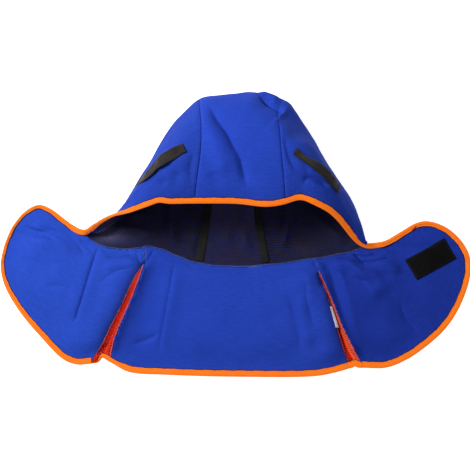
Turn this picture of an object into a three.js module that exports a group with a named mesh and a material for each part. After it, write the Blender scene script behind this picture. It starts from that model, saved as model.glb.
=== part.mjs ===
// Welding head cover: a lined cloth hood with a neck cape, laid on its back.
// Millimetres, +Z up. The crown points to +Y, the cape spreads to -Y with its inner face up,
// and the underside rests on z = 0.

import * as THREE from "three";

// Cloth, net and webbing
const clothThick = 1.2;
const netThick = 1.0;
const tapeThick = 0.8;
const tapeWide = 7;
const bindThick = 0.9;
const bindLeg = 7.5;
const webThick = 1.4;
const webWide = 11;
const clearance = 0.35;
const bindGap = 0.5;
const patchGap = 0.8;
const seamGap = 0.4;

// Placement of the whole piece, so that its box is centred on the origin
const centreShiftY = 3.8;

// Ends of the face opening, where the brow edge comes down to the neck seam
const mouthCorner = {
  left: { x: -180, y: 1 },
  right: { x: 160, y: -14 },
};
const clothReach = { left: 0.985, right: 0.965 };

// Facets of the hood: columns of each panel and steps from the brow edge to the neck, closer at the brow.
// The lining shares them, and stops short of the mouth corners, the brow edge and the neck seam.
const hoodSteps = 20;
const middleColumns = 6;
const sideColumns = 11;
const liningColumns = { left: 10, right: 9 };
const stepCrowding = 1.25;
const liningNeckShort = 0.25;

// Ribs of the hood from mouth corner to mouth corner, in order from the brow edge over the crown to the neck.
// at: place along the middle; midX, backY, upZ: the rib's middle point; endZ: its height at the corners;
// flat and sharp: how square its shoulders are on each side.
const ribs = [
  { at: 0, midX: 3, backY: 26, upZ: 74, endZ: 8, flatL: 5, sharpL: 1, flatR: 8, sharpR: 3.5 },
  { at: 0.07, midX: 5, backY: 52, upZ: 86, endZ: 12, flatL: 4.2, sharpL: 2, flatR: 5, sharpR: 1.75 },
  { at: 0.155, midX: 8, backY: 85, upZ: 92, endZ: 14, flatL: 3.8, sharpL: 2.5, flatR: 4, sharpR: 1.5 },
  { at: 0.24, midX: 12, backY: 118, upZ: 86, endZ: 13, flatL: 3.4, sharpL: 2.7, flatR: 3.2, sharpR: 1.35 },
  { at: 0.33, midX: 17, backY: 148, upZ: 68, endZ: 11, flatL: 3.2, sharpL: 2.7, flatR: 2.7, sharpR: 1.4 },
  { at: 0.42, midX: 21, backY: 165, upZ: 38, endZ: 7, flatL: 3.4, sharpL: 2.9, flatR: 2.6, sharpR: 1.4 },
  { at: 0.51, midX: 19, backY: 150, upZ: 6, endZ: 2, flatL: 3.4, sharpL: 2.9, flatR: 2.6, sharpR: 1.4 },
  { at: 0.6, midX: 16, backY: 115, upZ: 0, endZ: 0, flatL: 3.4, sharpL: 2.9, flatR: 2.6, sharpR: 1.4 },
  { at: 0.8, midX: 12, backY: 40, upZ: 0, endZ: 0, flatL: 3.2, sharpL: 2.6, flatR: 2.6, sharpR: 1.4 },
  { at: 1, midX: 9, backY: -40, upZ: 0, endZ: 0, flatL: 2.4, sharpL: 1.6, flatR: 2.4, sharpR: 1.2 },
];

// The two seams of the middle panel: their x on each rib
const panelSeams = [
  { at: 0, seamL: -49, seamR: 60 },
  { at: 0.07, seamL: -46, seamR: 58 },
  { at: 0.155, seamL: -42, seamR: 55 },
  { at: 0.24, seamL: -41, seamR: 53 },
  { at: 0.33, seamL: -43, seamR: 52 },
  { at: 0.42, seamL: -44, seamR: 54 },
  { at: 0.51, seamL: -43, seamR: 48 },
  { at: 0.6, seamL: -38, seamR: 38 },
  { at: 0.8, seamL: -33, seamR: 27 },
  { at: 1, seamL: -44, seamR: 36 },
];

// Bulges of the hood's widest line in plan: how far it stands out at x
const crownBulges = [
  { x: 140, wide: 17, out: 13 },
  { x: 98, wide: 18, out: -7 },
  { x: 68, wide: 10, out: 4 },
  { x: -42, wide: 16, out: 4 },
];

// Neck seam on the floor, from left to right
const neckSeamRows = [
  { x: -180, y: 1 },
  { x: -166, y: -11 },
  { x: -141, y: -16 },
  { x: -117, y: -17 },
  { x: -99, y: -14 },
  { x: -86, y: -18 },
  { x: -70, y: -26 },
  { x: -50, y: -34 },
  { x: -24, y: -39 },
  { x: 9, y: -40 },
  { x: 47, y: -37 },
  { x: 96, y: -30 },
  { x: 130, y: -24 },
  { x: 160, y: -15 },
];

// Waves of the brow edge in plan: how far the edge moves to the front at x
const browWaves = [
  { x: 36, wide: 24, forward: 4 },
  { x: 78, wide: 15, forward: -5 },
  { x: -128, wide: 20, forward: 4 },
];

// Folds of the crown's upper cloth: a soft ridge or a valley along a line in plan
const crownFolds = [
  { x0: -30, y0: 142, x1: 8, y1: 73, wide: 13, high: 4 },
  { x0: 8, y0: 73, x1: 14, y1: 40, wide: 13, high: 3 },
  { x0: 22, y0: 146, x1: 62, y1: 126, wide: 12, high: 4 },
  { x0: 34, y0: 125, x1: 40, y1: 50, wide: 15, high: -4 },
  { x0: 86, y0: 58, x1: 108, y1: 42, wide: 12, high: 3 },
];

// Outer edge of each wing in plan, from the mouth corner round the tip to the foot of the gusset
const leftRimRows = [
  { x: -180, y: 2 },
  { x: -191, y: 6 },
  { x: -205, y: 16 },
  { x: -222, y: 29 },
  { x: -237, y: 34.5 },
  { x: -252, y: 27 },
  { x: -267, y: 9 },
  { x: -277, y: -15 },
  { x: -281, y: -38 },
  { x: -277, y: -60 },
  { x: -260, y: -91 },
  { x: -232, y: -125 },
  { x: -206, y: -151 },
  { x: -190, y: -157 },
  { x: -173, y: -156 },
];
const rightRimRows = [
  { x: 156, y: -15.5 },
  { x: 166, y: -15 },
  { x: 180, y: -10 },
  { x: 199, y: 1.5 },
  { x: 217, y: 12 },
  { x: 230, y: 14.5 },
  { x: 250, y: 8.5 },
  { x: 268, y: -6.5 },
  { x: 279, y: -25 },
  { x: 281, y: -44 },
  { x: 275, y: -70 },
  { x: 262, y: -98 },
  { x: 247, y: -118 },
  { x: 223, y: -139 },
  { x: 203, y: -152 },
  { x: 180, y: -161 },
  { x: 151, y: -161 },
];
const rimMarks = {
  left: { tip: 0.19, outer: 0.46 },
  right: { tip: 0.2, outer: 0.45 },
};

// Hem of the back panel in plan, from gusset to gusset
const hemRows = [
  { x: -148, y: -155.5 },
  { x: -128, y: -166 },
  { x: -84, y: -169.5 },
  { x: 5, y: -172 },
  { x: 97, y: -171 },
  { x: 126, y: -165 },
  { x: 135, y: -162 },
];

// Gussets in plan: where each leaves the neck seam, where its net starts, and its two feet at the hem
const gussets = {
  left: {
    topX: -107,
    apexX: -110,
    apexY: -38,
    wingX: -173,
    wingY: -156,
    backX: -148,
    backY: -155.5,
    high: 15,
    start: 0.2,
  },
  right: {
    topX: 97,
    apexX: 98,
    apexY: -42,
    wingX: 151,
    wingY: -161,
    backX: 135,
    backY: -162,
    high: 15,
    start: 0.14,
  },
};
const gussetInset = 1.1;

// Folds of the cape: a ridge along a line in plan
const capeRest = 2.6;
const calmEdge = { from: 12, to: 36 };
const capeFolds = [
  { x0: -166, y0: -18, x1: -197, y1: -110, wide: 13, high: 4 },
  { x0: -230, y0: -28, x1: -226, y1: -48, wide: 44, high: 6 },
  { x0: -249, y0: 8, x1: -211, y1: -16, wide: 10, high: 2 },
  { x0: -72, y0: -34, x1: -93, y1: -146, wide: 12, high: 3.5 },
  { x0: 78, y0: -70, x1: 88, y1: -145, wide: 12, high: 3.5 },
  { x0: -20, y0: -105, x1: 30, y1: -105, wide: 50, high: 3 },
  { x0: 154, y0: -38, x1: 173, y1: -80, wide: 12, high: 4 },
  { x0: 168, y0: -34, x1: 197, y1: -49, wide: 10, high: 3 },
  { x0: 205, y0: -90, x1: 225, y1: -100, wide: 42, high: 4 },
];

// Webbing loops on the crown, from the upper to the lower stitched end in plan;
// lean: how far the route under the bow shifts, so that the bowed loop runs straight
const straps = {
  left: { x0: -60, y0: 90, x1: -115, y1: 60, leanX: 5, leanY: -3, bow: 9 },
  right: { x0: 71, y0: 88, x1: 121, y1: 50, leanX: -6, leanY: -3, bow: 9 },
};

// Hook patch on the right wing's inner face, its mate under the left wing, and the label in the right gusset
const hookPatch = { x: 234.4, y: -31, long: 54, wide: 28, turn: 0.52, thick: 1.6 };
const loopPatch = { x: -228, y: -38, long: 54, wide: 28, turn: -0.5, thick: 1.4 };
const careLabel = { from: 0.42, to: 0.66, thick: 0.8 };

// Colours
const blueCloth = { color: 0x2b46c0, roughness: 0.85, metalness: 0 };
const orangeCloth = { color: 0xf07a1c, roughness: 0.8, metalness: 0 };
const navyNet = { color: 0x1c1c42, roughness: 0.9, metalness: 0 };
const redNet = { color: 0xd8331a, roughness: 0.85, metalness: 0 };
const blackWeb = { color: 0x22221f, roughness: 0.8, metalness: 0 };
const blackHook = { color: 0x0d0d0d, roughness: 0.9, metalness: 0 };
const whiteLabel = { color: 0xe8e8e8, roughness: 0.8, metalness: 0 };

const piece = new THREE.Group();
piece.position.y = centreShiftY;

// Small helpers

function smoothStep(low, high, value) {
  const k = THREE.MathUtils.clamp((value - low) / (high - low), 0, 1);
  return k * k * (3 - 2 * k);
}

function curveThrough(rows) {
  const points = rows.map((row) => new THREE.Vector3(row.x, row.y, 0));
  return new THREE.CatmullRomCurve3(points, false, "centripetal");
}

function foldLift(x, y, folds) {
  let lift = 0;
  for (const fold of folds) {
    const dx = fold.x1 - fold.x0;
    const dy = fold.y1 - fold.y0;
    const along = ((x - fold.x0) * dx + (y - fold.y0) * dy) / (dx * dx + dy * dy);
    const held = THREE.MathUtils.clamp(along, 0, 1);
    const away = Math.hypot(x - fold.x0 - held * dx, y - fold.y0 - held * dy);
    lift += fold.high * Math.exp(-((away / fold.wide) ** 2));
  }
  return lift;
}

function heightAlong(rows, x) {
  const next = Math.max(1, rows.findIndex((row) => row.x >= x));
  const before = rows[next - 1];
  const after = rows[next];
  const k = THREE.MathUtils.clamp((x - before.x) / (after.x - before.x), 0, 1);
  return before.y + (after.y - before.y) * (k * k * (3 - 2 * k) * 0.5 + k * 0.5);
}

function addMesh(name, geometry, look) {
  const mesh = new THREE.Mesh(geometry, new THREE.MeshStandardMaterial(look));
  mesh.name = name;
  piece.add(mesh);
}

// A closed body from points and triangles, turned so that its faces point out
function closedBody(points, triangles) {
  let volume = 0;
  for (const [a, b, c] of triangles) {
    volume += points[a].dot(new THREE.Vector3().crossVectors(points[b], points[c]));
  }
  const ordered = volume < 0 ? triangles.map(([a, b, c]) => [a, c, b]) : triangles;
  const geometry = new THREE.BufferGeometry();
  geometry.setFromPoints(points);
  geometry.setIndex(ordered.flat());
  geometry.computeVertexNormals();
  return geometry;
}

// A wall: two grids of points, joined round their rims
function wallBody(columns, rows, frontAt, backAt) {
  const points = [];
  for (const at of [frontAt, backAt]) {
    for (let i = 0; i <= columns; i += 1) {
      for (let j = 0; j <= rows; j += 1) {
        points.push(at(i / columns, j / rows));
      }
    }
  }
  const back = (columns + 1) * (rows + 1);
  const at = (i, j) => i * (rows + 1) + j;
  const triangles = [];
  for (let i = 0; i < columns; i += 1) {
    for (let j = 0; j < rows; j += 1) {
      const [a, b, c, d] = [at(i, j), at(i + 1, j), at(i + 1, j + 1), at(i, j + 1)];
      triangles.push([a, b, c], [a, c, d]);
      triangles.push([a + back, c + back, b + back], [a + back, d + back, c + back]);
    }
  }
  const rim = [];
  for (let i = 0; i < columns; i += 1) {
    rim.push(at(i, 0));
  }
  for (let j = 0; j < rows; j += 1) {
    rim.push(at(columns, j));
  }
  for (let i = columns; i > 0; i -= 1) {
    rim.push(at(i, rows));
  }
  for (let j = rows; j > 0; j -= 1) {
    rim.push(at(0, j));
  }
  rim.forEach((a, index) => {
    const b = rim[(index + 1) % rim.length];
    triangles.push([a, a + back, b + back], [a, b + back, b]);
  });
  return closedBody(points, triangles);
}

// A swept bar: one section at each station, with flat ends
function sweptBody(sections, outline) {
  const count = outline.length;
  const points = sections.flat();
  const triangles = [];
  for (let i = 0; i < sections.length - 1; i += 1) {
    for (let k = 0; k < count; k += 1) {
      const a = i * count + k;
      const b = i * count + ((k + 1) % count);
      triangles.push([a, b, b + count], [a, b + count, a + count]);
    }
  }
  const last = (sections.length - 1) * count;
  const facing = THREE.ShapeUtils.isClockWise(outline);
  for (const [a, b, c] of THREE.ShapeUtils.triangulateShape(outline, [])) {
    triangles.push(facing ? [a, b, c] : [a, c, b]);
    triangles.push(facing ? [a + last, c + last, b + last] : [a + last, b + last, c + last]);
  }
  return closedBody(points, triangles);
}

// Hood surface: the outer face of the hood's cloth

const ribColumns = ["midX", "backY", "upZ", "endZ", "flatL", "sharpL", "flatR", "sharpR", "seamL", "seamR"];
const ribRows = ribs.map((rib, index) => ({ ...rib, ...panelSeams[index] }));
const ribSpline = new THREE.CubicInterpolant(
  ribRows.map((rib) => rib.at),
  ribRows.flatMap((rib) => ribColumns.map((column) => rib[column])),
  ribColumns.length,
);

function ribAt(s) {
  const values = ribSpline.evaluate(s);
  return Object.fromEntries(ribColumns.map((column, index) => [column, values[index]]));
}

function ribPoint(rib, t) {
  const corner = t < 0 ? mouthCorner.left : mouthCorner.right;
  const flat = t < 0 ? rib.flatL : rib.flatR;
  const sharp = t < 0 ? rib.sharpL : rib.sharpR;
  const side = Math.abs(t);
  const rise = (1 - side ** flat) ** sharp;
  return new THREE.Vector3(
    rib.midX + side * (corner.x - rib.midX),
    corner.y + (rib.backY - corner.y) * rise,
    rib.endZ + (rib.upZ - rib.endZ) * rise,
  );
}

const neckRib = ribAt(1);

function hoodPoint(s, t) {
  const point = ribPoint(ribAt(s), t);
  const neck = ribPoint(neckRib, t);
  point.y += (heightAlong(neckSeamRows, neck.x) - neck.y) * smoothStep(0.72, 1, s);
  const brow = 1 - smoothStep(0, 0.12, s);
  for (const wave of browWaves) {
    point.y -= brow * wave.forward * Math.exp(-(((point.x - wave.x) / wave.wide) ** 2));
  }
  const widest = smoothStep(0.1, 0.4, s) * (1 - smoothStep(0.45, 0.85, s));
  for (const bulge of crownBulges) {
    point.y += widest * bulge.out * Math.exp(-(((point.x - bulge.x) / bulge.wide) ** 2));
  }
  const upper = smoothStep(0.05, 0.16, s) * (1 - smoothStep(0.3, 0.42, s));
  point.z += upper * foldLift(point.x, point.y, crownFolds);
  point.z = Math.max(0, point.z);
  return point;
}

// Point, outward normal and the direction away from the brow edge
function hoodFrame(s, t) {
  const step = 0.004;
  const point = hoodPoint(s, t);
  const back = hoodPoint(Math.min(1, s + step), t).sub(hoodPoint(Math.max(0, s - step), t)).normalize();
  const across = hoodPoint(s, t + step).sub(hoodPoint(s, t - step)).normalize();
  const normal = new THREE.Vector3().crossVectors(across, back).normalize();
  return { point, back, across, normal };
}

function hoodOffset(s, t, offset) {
  const { point, normal } = hoodFrame(s, t);
  return point.addScaledVector(normal, offset);
}

function seamPlace(s, side) {
  const rib = ribAt(s);
  const x = side === "left" ? rib.seamL : rib.seamR;
  const corner = x < rib.midX ? mouthCorner.left : mouthCorner.right;
  const t = (x - rib.midX) / Math.abs(corner.x - rib.midX);
  return { t, gap: seamGap / 2 / Math.abs(corner.x - rib.midX) };
}

// Place of a facet corner: columns count from the left seam across the middle panel,
// and from the seam to the mouth corner on a side panel
function panelPlace(side, column, s) {
  const left = seamPlace(s, "left");
  const right = seamPlace(s, "right");
  const sideShare = column / sideColumns;
  if (side === "left") {
    return THREE.MathUtils.lerp(left.t - left.gap, -clothReach.left, sideShare);
  }
  if (side === "right") {
    return THREE.MathUtils.lerp(right.t + right.gap, clothReach.right, sideShare);
  }
  return THREE.MathUtils.lerp(left.t + left.gap, right.t - right.gap, column / middleColumns);
}

function hoodStep(step) {
  return (step / hoodSteps) ** stepCrowding;
}

// Panels of the hood and of its lining: walls between two offsets from the hood's outer face
function hoodPanel(side, columns, firstStep, neckShort, outer, inner) {
  const steps = hoodSteps - firstStep;
  const corner = (u, step, offset) => {
    const s = hoodStep(step);
    return hoodOffset(s, panelPlace(side, u * columns, s), offset);
  };
  const at = (offset) => (u, v) => {
    const step = firstStep + Math.round(v * steps);
    const point = corner(u, step, offset);
    if (step === hoodSteps) {
      point.lerp(corner(u, step - 1, offset), neckShort);
    }
    return point;
  };
  return wallBody(columns, steps, at(outer), at(inner));
}

function clothPanel(side, columns) {
  return hoodPanel(side, columns, 0, 0, 0, -clothThick);
}

function liningPanel(side, columns) {
  return hoodPanel(side, columns, 1, liningNeckShort, liningOuter, liningInner);
}

const liningOuter = -clothThick - clearance;
const liningInner = liningOuter - netThick;

addMesh("crown_centre_panel", clothPanel("middle", middleColumns), blueCloth);
addMesh("side_panel_left", clothPanel("left", sideColumns), blueCloth);
addMesh("side_panel_right", clothPanel("right", sideColumns), blueCloth);
addMesh("lining_centre", liningPanel("middle", middleColumns), navyNet);
addMesh("lining_left", liningPanel("left", liningColumns.left), navyNet);
addMesh("lining_right", liningPanel("right", liningColumns.right), navyNet);

// Tapes over the lining's seams, from behind the brow binding to the neck
function liningTape(side) {
  const at = (offset) => (u, v) => {
    const step = 2 + Math.round((hoodSteps - 2) * v);
    const s = hoodStep(step) - (step === hoodSteps ? 0.02 : 0);
    const { t, gap } = seamPlace(s, side);
    const half = (gap / seamGap) * tapeWide;
    return hoodOffset(s, t + half * (2 * u - 1), offset);
  };
  const top = liningInner - 4 * clearance;
  return wallBody(1, hoodSteps - 2, at(top), at(top - tapeThick));
}

addMesh("lining_tape_left", liningTape("left"), blackWeb);
addMesh("lining_tape_right", liningTape("right"), blackWeb);

// Cape: the back panel and the two wings, each stretched between four edges in plan

const leftRim = curveThrough(leftRimRows);
const rightRim = curveThrough(rightRimRows);
const hem = curveThrough(hemRows);
const boundEdge = [leftRim, rightRim, hem].flatMap((curve) => curve.getSpacedPoints(80));

// Height of the cape's cloth: its folds die away toward the bound edge, which lies flat
function capeLift(x, y) {
  const away = Math.min(...boundEdge.map((point) => Math.hypot(point.x - x, point.y - y)));
  return capeRest + foldLift(x, y, capeFolds) * smoothStep(calmEdge.from, calmEdge.to, away);
}

function neckPoint(x) {
  return new THREE.Vector3(x, heightAlong(neckSeamRows, x) - seamGap, 0);
}

// One edge of a gusset, from the neck seam by the apex to its foot
function gussetEdge(gusset, footX, footY, shift) {
  const top = neckPoint(gusset.topX);
  const apex = new THREE.Vector3(gusset.apexX, gusset.apexY, 0);
  const foot = new THREE.Vector3(footX, footY, 0);
  const long = apex.distanceTo(foot);
  const short = top.distanceTo(apex);
  return (v) => {
    const run = v * (long + short);
    const point = run < short
      ? top.clone().lerp(apex, run / short)
      : apex.clone().lerp(foot, (run - short) / long);
    point.x += shift;
    return point;
  };
}

const edges = {
  leftWing: gussetEdge(gussets.left, gussets.left.wingX, gussets.left.wingY, -seamGap / 2),
  leftBack: gussetEdge(gussets.left, gussets.left.backX, gussets.left.backY, seamGap / 2),
  rightWing: gussetEdge(gussets.right, gussets.right.wingX, gussets.right.wingY, seamGap / 2),
  rightBack: gussetEdge(gussets.right, gussets.right.backX, gussets.right.backY, -seamGap / 2),
};

// A point of the surface stretched between four edges
function stretched(u, v, top, bottom, start, end) {
  const point = new THREE.Vector3();
  point.addScaledVector(top(u), 1 - v).addScaledVector(bottom(u), v);
  point.addScaledVector(start(v), 1 - u).addScaledVector(end(v), u);
  point.addScaledVector(top(0), -(1 - u) * (1 - v)).addScaledVector(top(1), -u * (1 - v));
  point.addScaledVector(bottom(0), -(1 - u) * v).addScaledVector(bottom(1), -u * v);
  return point;
}

function capeSheet(columns, rows, top, bottom, start, end) {
  const at = (offset) => (u, v) => {
    const point = stretched(u, v, top, bottom, start, end);
    point.z = capeLift(point.x, point.y) + offset;
    return point;
  };
  return wallBody(columns, rows, at(clothThick / 2), at(-clothThick / 2));
}

// Facets of a wing: columns along the neck and front edges, and rows along its outer end
const neckColumns = 8;
const frontColumns = 7;
const endRows = 11;
const wingColumns = neckColumns + frontColumns;

function wingSheet(side) {
  const rim = side === "left" ? leftRim : rightRim;
  const edge = side === "left" ? edges.leftWing : edges.rightWing;
  const marks = rimMarks[side];
  const corner = rim.getPointAt(0);
  const topX = edge(0).x;
  const neckShare = neckColumns / wingColumns;
  const top = (u) => {
    if (u < neckShare - 1e-6) {
      return neckPoint(topX + (corner.x - topX) * (u / neckShare));
    }
    return rim.getPointAt(((u - neckShare) / (1 - neckShare)) * marks.tip);
  };
  const bottom = (u) => rim.getPointAt(1 - u * (1 - marks.outer));
  const end = (v) => rim.getPointAt(marks.tip + v * (marks.outer - marks.tip));
  return capeSheet(wingColumns, endRows, top, bottom, edge, end);
}

// Places along a wing's rim at its facet corners, from the mouth corner to the gusset
function rimPlaces(side) {
  const { tip, outer } = rimMarks[side];
  const places = [];
  for (let i = 0; i < frontColumns; i += 1) {
    places.push((i / frontColumns) * tip);
  }
  for (let i = 0; i < endRows; i += 1) {
    places.push(tip + (i / endRows) * (outer - tip));
  }
  for (let i = 0; i < wingColumns; i += 1) {
    places.push(outer + (i / wingColumns) * (1 - outer));
  }
  places.push(0.994);
  return places;
}

const backColumns = 18;
const backRows = 9;
const backTop = (u) => {
  const from = edges.leftBack(0).x;
  return neckPoint(from + (edges.rightBack(0).x - from) * u);
};
const backBottom = (u) => hem.getPointAt(u);
const backSheet = capeSheet(backColumns, backRows, backTop, backBottom, edges.leftBack, edges.rightBack);
addMesh("back_drape", backSheet, blueCloth);
addMesh("wing_left", wingSheet("left"), blueCloth);
addMesh("wing_right", wingSheet("right"), blueCloth);

// Gussets: each stands as a fold between the wing and the back panel, from nothing at the apex to the hem

function gussetPoint(side, across, down) {
  const gusset = gussets[side];
  const v = THREE.MathUtils.lerp(gusset.start, 1, down);
  const wing = edges[`${side}Wing`](v);
  const back = edges[`${side}Back`](v);
  const toward = back.clone().sub(wing);
  const inset = gussetInset / Math.max(toward.length(), 2.5 * gussetInset);
  const k = inset + (1 - 2 * inset) * across;
  const point = wing.clone().lerp(back, k);
  const rise = 1 - Math.abs(2 * across - 1) ** 1.6;
  const edgeLift = capeLift(wing.x, wing.y) * (1 - k) + capeLift(back.x, back.y) * k;
  point.z = edgeLift + gusset.high * rise * down ** 0.8;
  point.y += 3 * rise * down;
  return point;
}

function gussetFrame(side, across, down) {
  const step = 0.01;
  const point = gussetPoint(side, across, down);
  const run = gussetPoint(side, Math.min(1, across + step), down);
  run.sub(gussetPoint(side, Math.max(0, across - step), down)).normalize();
  const away = gussetPoint(side, across, Math.max(0, down - step));
  away.sub(gussetPoint(side, across, Math.min(1, down + step))).normalize();
  const normal = new THREE.Vector3().crossVectors(run, away).normalize();
  if (normal.z < 0) {
    normal.negate();
  }
  return { point, normal };
}

const gussetColumns = 8;
const gussetRows = 8;
const gussetHemShort = 0.55;

function gussetSheet(side) {
  const corner = (u, v, offset) => {
    const { point, normal } = gussetFrame(side, u, v);
    return point.addScaledVector(normal, offset);
  };
  const at = (offset) => (u, v) => {
    const point = corner(u, v, offset);
    return v < 1 ? point : point.lerp(corner(u, 1 - 1 / gussetRows, offset), gussetHemShort);
  };
  return wallBody(gussetColumns, gussetRows, at(netThick / 2), at(-netThick / 2));
}

addMesh("gusset_left", gussetSheet("left"), redNet);
addMesh("gusset_right", gussetSheet("right"), redNet);

// Binding: a folded strip round an edge. Each station has the edge point, the direction into the cloth,
// the cloth's normal, half of the space between the strip's legs, their length and the space at the fold.

function bindingOutline(half, leg, gap) {
  const fold = gap + bindThick;
  const full = half + bindThick;
  return [
    [leg, half],
    [-gap, half],
    [-gap, -half],
    [leg, -half],
    [leg, -full],
    [-gap, -full],
    [-fold, -half],
    [-fold, half],
    [-gap, full],
    [leg, full],
  ].map(([x, y]) => new THREE.Vector2(x, y));
}

function bindingBody(stations) {
  const sections = stations.map(({ edge, inward, normal, half, leg, gap }) =>
    bindingOutline(half, leg, gap).map((corner) =>
      edge.clone().addScaledVector(inward, corner.x).addScaledVector(normal, corner.y)));
  return sweptBody(sections, bindingOutline(1, bindLeg, bindGap));
}

const snugHalf = clothThick / 2 + bindGap;

// The brow edge, with legs that run out at the mouth corners
function browStation(side, column) {
  const slack = side === "middle" ? 0 : 1.2;
  const { point, across, normal } = hoodFrame(0, panelPlace(side, column, 0));
  const next = hoodStep(1);
  const inward = hoodPoint(next, panelPlace(side, column, next)).sub(point);
  inward.addScaledVector(across, -inward.dot(across));
  const leg = Math.min(bindLeg, 0.8 * inward.length());
  inward.normalize();
  const square = normal.clone().addScaledVector(inward, -normal.dot(inward)).normalize();
  return {
    edge: point.addScaledVector(normal, -clothThick / 2),
    inward,
    normal: square,
    half: snugHalf + slack,
    leg,
    gap: bindGap + slack,
  };
}

const browStations = [];
for (let i = sideColumns; i > 0; i -= 1) {
  browStations.push(browStation("left", i));
}
for (let i = 0; i <= middleColumns; i += 1) {
  browStations.push(browStation("middle", i));
}
for (let i = 1; i <= sideColumns; i += 1) {
  browStations.push(browStation("right", i));
}
addMesh("binding_lip", bindingBody(browStations), orangeCloth);

function flatStation(curve, share, turn) {
  const edge = curve.getPointAt(share);
  const tangent = curve.getTangentAt(share);
  edge.z = capeLift(edge.x, edge.y);
  return {
    edge,
    inward: new THREE.Vector3(-tangent.y * turn, tangent.x * turn, 0),
    normal: new THREE.Vector3(0, 0, 1),
    half: snugHalf,
    leg: bindLeg,
    gap: bindGap,
  };
}

function wingBinding(side) {
  const rim = side === "left" ? leftRim : rightRim;
  const turn = side === "left" ? 1 : -1;
  return bindingBody(rimPlaces(side).map((place) => flatStation(rim, place, turn)));
}

addMesh("binding_wing_left", wingBinding("left"), orangeCloth);
addMesh("binding_wing_right", wingBinding("right"), orangeCloth);

// The back hem, over both gussets' folds
function gussetStation(side, column) {
  const across = column / gussetColumns;
  const { point, normal } = gussetFrame(side, across, 1);
  const inward = gussetPoint(side, across, 1 - 1 / gussetRows).sub(point).normalize();
  const square = normal.clone().addScaledVector(inward, -normal.dot(inward)).normalize();
  return { edge: point, inward, normal: square, half: snugHalf + 0.5, leg: bindLeg, gap: bindGap };
}

// Where the hem turns up from the back panel into the fold, its strip is opened a little
function footStation(side, place) {
  const flat = flatStation(hem, place, 1);
  const steep = gussetStation(side, side === "left" ? gussetColumns : 0);
  flat.edge.lerp(steep.edge, 0.5);
  flat.normal.lerp(steep.normal, 0.35).normalize();
  flat.half = snugHalf + 0.5;
  return flat;
}

const hemStations = [];
for (let i = 1; i < gussetColumns; i += 1) {
  hemStations.push(gussetStation("left", i));
}
hemStations.push(footStation("left", 0));
for (let i = 1; i < backColumns; i += 1) {
  hemStations.push(flatStation(hem, i / backColumns, 1));
}
hemStations.push(footStation("right", 1));
for (let i = gussetColumns - 1; i > 0; i -= 1) {
  hemStations.push(gussetStation("right", i));
}
addMesh("binding_hem", bindingBody(hemStations), orangeCloth);

// Webbing loops: stitched flat at both ends and bowed off the crown between

function crownPlace(x, y) {
  let low = 0;
  let high = 0.42;
  for (let turn = 0; turn < 40; turn += 1) {
    const s = (low + high) / 2;
    const rib = ribAt(s);
    const corner = x < rib.midX ? mouthCorner.left : mouthCorner.right;
    const t = (x - rib.midX) / Math.abs(corner.x - rib.midX);
    if (hoodPoint(s, t).y < y) {
      low = s;
    } else {
      high = s;
    }
  }
  const rib = ribAt(low);
  const corner = x < rib.midX ? mouthCorner.left : mouthCorner.right;
  return [low, (x - rib.midX) / Math.abs(corner.x - rib.midX)];
}

function strapBody({ x0, y0, x1, y1, leanX, leanY, bow }) {
  const steps = 16;
  const rows = [];
  for (let i = 0; i <= steps; i += 1) {
    const k = i / steps;
    const arch = Math.sin(Math.PI * smoothStep(0.1, 0.9, k)) ** 1.2;
    const x = x0 + (x1 - x0) * k + leanX * arch;
    const y = y0 + (y1 - y0) * k + leanY * arch;
    const { point, normal } = hoodFrame(...crownPlace(x, y));
    const lift = 1 + bow * arch;
    rows.push({ point, normal, lift });
  }
  const sections = rows.map(({ point, normal, lift }, i) => {
    const next = rows[Math.min(i + 1, steps)].point;
    const along = next.clone().sub(rows[Math.max(i - 1, 0)].point).normalize();
    const aside = new THREE.Vector3().crossVectors(along, normal).normalize();
    return [[-1, 0], [1, 0], [1, 1], [-1, 1]].map(([w, h]) =>
      point.clone()
        .addScaledVector(aside, (w * webWide) / 2)
        .addScaledVector(normal, lift + h * webThick));
  });
  const outline = [[-1, 0], [1, 0], [1, 1], [-1, 1]].map(([x, y]) => new THREE.Vector2(x, y));
  return sweptBody(sections, outline);
}

addMesh("strap_left", strapBody(straps.left), blackWeb);
addMesh("strap_right", strapBody(straps.right), blackWeb);

// Patches of the closure

function patchBody(patch, face) {
  const turnX = Math.cos(patch.turn);
  const turnY = Math.sin(patch.turn);
  const at = (offset) => (u, v) => {
    const along = (u - 0.5) * patch.long;
    const aside = (v - 0.5) * patch.wide;
    const x = patch.x + along * turnX - aside * turnY;
    const y = patch.y + along * turnY + aside * turnX;
    return new THREE.Vector3(x, y, capeLift(x, y) + face * offset);
  };
  const near = clothThick / 2 + patchGap;
  return wallBody(8, 4, at(near), at(near + patch.thick));
}

addMesh("hook_patch", patchBody(hookPatch, 1), blackHook);
addMesh("loop_patch", patchBody(loopPatch, -1), blackWeb);

// Blank label, sewn into the right gusset's seam and lying up its wall
function labelBody() {
  const at = (offset) => (u, v) => {
    const across = 0.97 - 0.36 * u;
    const down = THREE.MathUtils.lerp(careLabel.from, careLabel.to, v);
    const { point, normal } = gussetFrame("right", across, down);
    return point.addScaledVector(normal, offset);
  };
  const near = netThick / 2 + patchGap;
  return wallBody(4, 4, at(near), at(near + careLabel.thick));
}

addMesh("care_label", labelBody(), whiteLabel);

const group = new THREE.Group();
group.add(piece);

export default group;
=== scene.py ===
import math

import bpy
import numpy as np
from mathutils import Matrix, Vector, noise


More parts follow.
